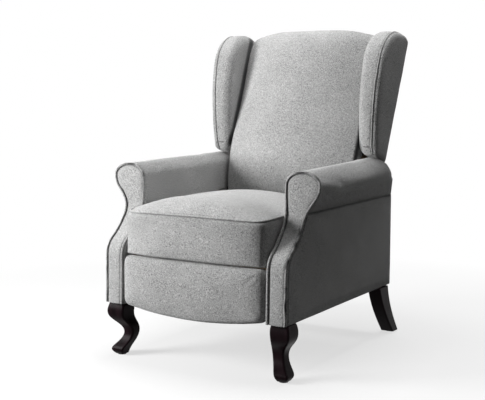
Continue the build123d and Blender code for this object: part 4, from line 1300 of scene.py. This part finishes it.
@dataclass
class Back:
    """Reclining back: plump cushion, two piped wings and the piped outside cover."""

    lean: float = 18.5
    rear_foot: Flat = (0.2296, 0.425)
    frame_front: float = 0.039
    cushion_edge: tuple[Flat, ...] = (
        (0.044, 0.008), (0.055, 0.060), (0.062, 0.141), (0.056, 0.250), (0.050, 0.366), (0.047, 0.465),
        (0.043, 0.539), (0.033, 0.571),
    )
    # Depth behind the edge and width of the painted shade in the cushion's creases.
    cushion_crease: Flat = (0.015, 0.022)
    cushion_gap: float = 0.001
    cushion_room: tuple[Flat, Flat] = ((0.02, 0.002), (0.01, 0.006))
    crown_fall: float = 0.020
    crown_start: float = 0.10
    crown_height: float = 0.12
    side_fall: float = 0.002
    side_depth: Flat = (0.05, 0.08)
    wing_marks: tuple[Flat, ...] = (
        (0.078, 0.158), (0.105, 0.180), (0.148, 0.293), (0.166, 0.370), (0.171, 0.448), (0.164, 0.4885),
        (0.147, 0.523), (0.1175, 0.5525), (0.080, 0.570), (0.040, 0.573), (0.004, 0.565),
    )
    wing_low: Flat = (0.307, 0.595)
    wing_high: Flat = (0.326, 0.990)
    # Depth behind the edge and width of the painted shade in the wings' creases.
    wing_crease: Flat = (0.012, 0.028)
    wing_gather: float = 0.35
    wing_round: int = 36
    wing_round_depth: Flat = (0.03, 0.07)
    wing_round_away: Flat = (0.182, 0.207)
    wing_round_across: Flat = (0.045, 0.020)
    wing_reach: float = 0.003
    wing_reach_band: Flat = (0.177, 0.197)
    rear_cloth: float = 0.0018
    rear_facing: float = 0.6
    piping_inset: float = 0.018
    chin_mark: Flat = (0.100, 0.1745)
    chin_run: tuple[float, ...] = (0.004, 0.02, 0.04, 0.06)
    outside_heights: tuple[float, float, float] = (-0.045, 0.26, 0.560)
    outside_inset: float = 0.004
    outside_corner: float = 0.02
    cap: tuple[Flat, Flat] = ((0.001, 0.5575), (0.042, 0.5685))
    cap_margin: float = 0.006
    cushion_padding: Padding = Padding(
        voxel=0.006, soften=3, shrink=0.003, pressure=4.0, swell=0.012, settle=2,
        lumps=0.0012, lump_size=0.16,
        fill=0.65, ease=14,
    )
    wing_padding: Padding = Padding(
        voxel=0.005, soften=2, shrink=0.002, pressure=3.0, swell=0.006, settle=2,
        lumps=0.0008, lump_size=0.10, fill=0.65,
    )
    outside_padding: Padding = Padding(
        voxel=0.005, soften=1, shrink=0.001, pressure=2.0, swell=0.004, settle=1,
        lumps=0.0007, lump_size=0.15, fill=0.7,
    )
    wing_piping: Piping = Piping(radius=0.0028, proud=0.0004)
    outside_piping: Piping = Piping(radius=0.0032, proud=0.0)

    def __post_init__(self) -> None:
        """Finds the way that the rear face looks."""
        turn = math.radians(self.lean)
        self.behind: Point = (0.0, math.cos(turn), -math.sin(turn))

    def in_space(self, forward: float, height: float) -> Flat:
        """Places a mark of the back in the side view.

        Args:
            forward: Distance before the rear face.
            height: Height along the lean.

        Returns:
            Its y and z.
        """
        turn = math.radians(self.lean)
        y = self.rear_foot[0] + height * math.sin(turn) - forward * math.cos(turn)
        return y, self.rear_foot[1] + height * math.cos(turn) + forward * math.sin(turn)

    def before_rear(self, places: np.ndarray) -> np.ndarray:
        """Distance of places before the rear face."""
        return (places[:, 1:] - np.array(self.rear_foot)) @ -np.array(self.behind[1:])

    def wing_edge(self) -> list[Point]:
        """Draws the line of the left wing's piping.

        Returns:
            Its places on the outer edge, from the wing's bottom up and over.
        """
        line = []
        for mark in self.wing_marks:
            y, z = self.in_space(*mark)
            share = (z - self.wing_low[1]) / (self.wing_high[1] - self.wing_low[1])
            edge = self.wing_low[0] + share * (self.wing_high[0] - self.wing_low[0])
            line.append((edge - self.piping_inset, y, z))
        return line

    def crease(self, x: float, depth: float, width: float) -> Seam:
        """Draws the painted shade in the crease between the cushion and a wing.

        Args:
            x: Plane of the crease.
            depth: Distance behind the cushion's edge.
            width: Width of the crease.

        Returns:
            The painted shade, as a seam without a groove.
        """
        marks = [(self.frame_front + side - depth, height) for side, height in self.cushion_edge]
        return Seam(tuple((x, *self.in_space(*mark)) for mark in marks), width, depth=0.0, shade=0.95)

    def crowned(self, places: np.ndarray) -> np.ndarray:
        """Lets the cushion's top edge fall towards its two corners, and its front towards the wings.

        Args:
            places: Points of the cushion's skin.

        Returns:
            The moved points.
        """
        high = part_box("back_cushion")[1]
        ends = ramp(np.abs(places[:, 0]), self.crown_start, high.x) ** 2
        places[:, 2] -= self.crown_fall * ends * ramp(places[:, 2], high.z - self.crown_height, high.z)
        forward = self.before_rear(places)
        places += np.outer(self.side_fall * ends * ramp(forward, *self.side_depth), self.behind)
        return places

    def wing_start(self) -> bpy.types.Object:
        """Makes the start of the left wing.

        Returns:
            Its solid, rounded over at the front and brought down close to the arm.
        """
        wing = copy_nodes("wing_cover_left", "wing_left", "wing_board_left")
        remesh(wing, self.wing_padding.voxel)
        places = coordinates(wing)
        ways, length = from_hinge(places)
        edge, inside = self.wing_round_across
        share = ramp(self.before_rear(places), *self.wing_round_depth) * ramp(length, *self.wing_round_away)
        share *= ramp(places[:, 0], self.wing_low[0] - edge, self.wing_low[0] - inside)
        places = evened(wing, places, share, self.wing_round)
        low = 1 - ramp(length, *self.wing_reach_band)
        places[:, 1:] -= ways * (self.wing_reach * low)[:, None]
        rear = vertex_normals(wing) @ np.array(self.behind) > self.rear_facing
        places[rear] += self.rear_cloth * np.array(self.behind)
        place_vertices(wing, places)
        return wing

    def build(self) -> None:
        """Makes the back."""
        self.build_cushion()
        self.build_wings()
        self.build_outside()

    def build_cushion(self) -> None:
        """Makes the inside back cushion."""
        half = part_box("wing_left")[0].x - self.cushion_gap
        low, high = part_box("back_cushion")
        (before, below), (after, above) = self.cushion_room
        room = ((-half, low.y - before, low.z - below), (half, high.y + after, high.z + above))
        rests = (LEFTWARD, RIGHTWARD, DOWNWARD, self.behind)
        creases = (self.crease(half, *self.cushion_crease), self.crease(-half, *self.cushion_crease))
        start = copy_nodes("back_cushion_cover", "back_cushion")
        cushion = upholster(start, self.cushion_padding, rests, creases, room, self.crowned)
        dress(cushion, Body.BACK, ("back_cushion",))

    def build_wings(self) -> None:
        """Makes both wings and their piping."""
        edge = self.wing_edge()
        y, z = self.in_space(*self.chin_mark)
        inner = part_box("wing_left")[0].x
        under = tuple((inner + x, y, z) for x in self.chin_run)
        # Gathered seam under the wing, with a shallow groove and painted shade along it.
        chin = Seam(under, width=0.005, depth=0.0015, shade=0.7, gather=0.8, pitch=0.008)
        seams = (self.wing_piping.seam(edge, self.wing_gather), chin, self.crease(inner, *self.wing_crease))
        rests = (LEFTWARD, RIGHTWARD, self.behind, DOWNWARD)
        wing = upholster(self.wing_start(), self.wing_padding, rests, seams)
        cord = self.wing_piping.lay("wing_piping_left", edge, wing)
        dress_pair("wing_cover", wing, Body.BACK, ("wing",))
        dress_pair("wing_piping", cord, Body.BACK)

    def build_outside(self) -> None:
        """Makes the outside back cover, drawn over the frame's top, with piping down its sides and across."""
        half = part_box("outside_back")[1].x - self.outside_inset
        foot, middle, top = self.outside_heights
        corner = self.outside_corner
        marks = [(-half, foot), (-half, middle), (-half, top - corner), (-half + corner, top), (0.0, top)]
        marks += [(-x, height) for x, height in reversed(marks[:-1])]
        line = [(x, *self.in_space(0.0, height)) for x, height in marks]
        start = copy_nodes("outside_back_cover", "outside_back")
        (near, low), (far, high) = self.cap
        place = (0.0, *self.in_space((near + far) / 2, (low + high) / 2))
        add_block(start, place, (2 * half + self.cap_margin, far - near, high - low), self.lean)
        rests = (LEFTWARD, RIGHTWARD, UPWARD, DOWNWARD, tuple(-share for share in self.behind))
        cover = upholster(start, self.outside_padding, rests, (self.outside_piping.seam(line),))
        cord = self.outside_piping.lay("outside_back_piping", line, cover)
        dress(cover, Body.BACK, ("outside_back",))
        dress(cord, Body.BACK)


@dataclass
class RearBody:
    """Low rear cover of the body, below the reclining back."""

    padding: Padding = Padding(
        voxel=0.006, soften=1, shrink=0.001, pressure=2.0, swell=0.004, settle=1,
        lumps=0.0007, lump_size=0.15, fill=0.7,
    )

    def build(self) -> None:
        """Makes the rear cover."""
        rests = (LEFTWARD, RIGHTWARD, FORWARD, UPWARD, DOWNWARD)
        cover = upholster(copy_nodes("rear_cover", "rear_panel"), self.padding, rests)
        dress(cover, Body.BASE, ("rear_panel",))


@dataclass
class HardParts:
    """Legs, frame and mechanism, which keep their CAD shapes and get their finishes."""

    finishes: tuple[Finish, ...] = FRAME_FINISHES

    def build(self) -> None:
        """Finishes every CAD node that still shows."""
        by_slot = {finish.slot: finish for finish in self.finishes}
        for row in frame["record"]["subparts"]:
            node = frame["nodes"][row["node"]]
            finish = by_slot.get(row["material_slot"], FABRIC)
            node.data.materials.clear()
            node.data.materials.append(finish.material())
            LOG.info("%s keeps its CAD shape in %s", row["node"], finish.name)


@dataclass(frozen=True)
class Lamp:
    """A soft square lamp that points at the chair."""

    name: str
    place: Point
    size: float
    power: float

    def build(self, aim: Point) -> None:
        """Adds the lamp.

        Args:
            aim: Place that it points at.
        """
        bpy.ops.object.light_add(type="AREA", location=self.place)
        lamp = bpy.context.view_layer.objects.active
        lamp.name = self.name
        lamp.data.size = self.size
        lamp.data.energy = self.power
        lamp.rotation_euler = (Vector(aim) - Vector(self.place)).to_track_quat("-Z", "Y").to_euler()


@dataclass
class Studio:
    """Pale floor, soft lamps from the front left and above, and the camera of the photograph."""

    camera_place: Point = (1.60083, -2.71881, 0.81636)
    camera_turn: Point = (83.465, 0.0, 31.566)
    lens: float = 74.44
    sensor: float = 36.0
    floor_size: float = 40.0
    floor_tone: float = 0.92
    floor_white: Flat = (0.66, 1.0)
    floor_reach: Flat = (0.6, 1.7)
    floor_bounce: float = 0.12
    ambient: float = 0.005
    aim: Point = (0.0, -0.05, 0.45)
    lamps: tuple[Lamp, ...] = (
        Lamp("key_lamp", (-1.6, -1.6, 1.0), size=1.0, power=73.0),
        Lamp("top_lamp", (0.0, 0.4, 2.8), size=1.4, power=53.0),
        Lamp("rim_lamp", (1.6, 0.9, 2.4), size=1.2, power=7.5),
    )

    def build(self) -> None:
        """Sets up floor, world, lamps and camera."""
        bpy.context.scene.view_settings.view_transform = "Standard"
        self.build_floor()
        self.build_world()
        for lamp in self.lamps:
            lamp.build(self.aim)
        self.build_camera()

    def seen_directly(self, board: NodeBoard) -> bpy.types.NodeSocket:
        """Tells rays that show a surface from scattered light.

        Args:
            board: Nodes of the material or the world.

        Returns:
            1 on rays from the camera and in reflections, and 0 on scattered light.
        """
        path = board.add("ShaderNodeLightPath").outputs
        seen = board.math("MAXIMUM", path["Is Camera Ray"], path["Is Glossy Ray"])
        return board.math("MAXIMUM", seen, path["Is Transmission Ray"])

    def build_floor(self) -> None:
        """Adds the floor, which keeps the chair's shadow and goes over into white further out."""
        bpy.ops.object.select_all(action="DESELECT")
        bpy.ops.mesh.primitive_plane_add(size=self.floor_size)
        floor = bpy.context.view_layer.objects.active
        floor.name = "studio_floor"
        material = bpy.data.materials.new("studio_floor")
        board = NodeBoard(material)
        seen = self.seen_directly(board)
        tone = board.blend(seen, (self.floor_bounce,) * 3, (self.floor_tone,) * 3)
        matt = board.add("ShaderNodeBsdfDiffuse", Color=tone)
        glow = board.add("ShaderNodeEmission", Strength=1.0)
        away = board.add("ShaderNodeVectorMath", operation="LENGTH", slot_0=board.places()).outputs["Value"]
        white = board.spread(away, *self.floor_reach, *self.floor_white)
        share = board.math("MULTIPLY", seen, white)
        mix = board.add("ShaderNodeMixShader", slot_0=share, slot_1=matt.outputs[0], slot_2=glow.outputs[0])
        board.add("ShaderNodeOutputMaterial", Surface=mix.outputs[0])
        floor.data.materials.append(material)

    def build_world(self) -> None:
        """Gives a white background and a low even fill."""
        world = bpy.data.worlds.new("studio")
        bpy.context.scene.world = world
        board = NodeBoard(world)
        strength = board.spread(self.seen_directly(board), 0.0, 1.0, self.ambient, 1.0)
        back = board.add("ShaderNodeBackground", Color=(1, 1, 1, 1), Strength=strength)
        board.add("ShaderNodeOutputWorld", Surface=back.outputs[0])

    def build_camera(self) -> None:
        """Adds the camera at the photograph's place and angle."""
        turn = tuple(math.radians(angle) for angle in self.camera_turn)
        bpy.ops.object.camera_add(location=self.camera_place, rotation=turn)
        camera = bpy.context.view_layer.objects.active
        camera.data.sensor_width = self.sensor
        camera.data.lens = self.lens
        bpy.context.scene.camera = camera


def main() -> None:
    """Builds the chair on its frame and the studio round it."""
    logging.basicConfig(level=logging.INFO, format="%(message)s")
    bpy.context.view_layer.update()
    HardParts().build()
    for part in (Arm(), Seat(), Footrest(), Back(), RearBody()):
        part.build()
    Studio().build()


if __name__ == "__main__":
    main()
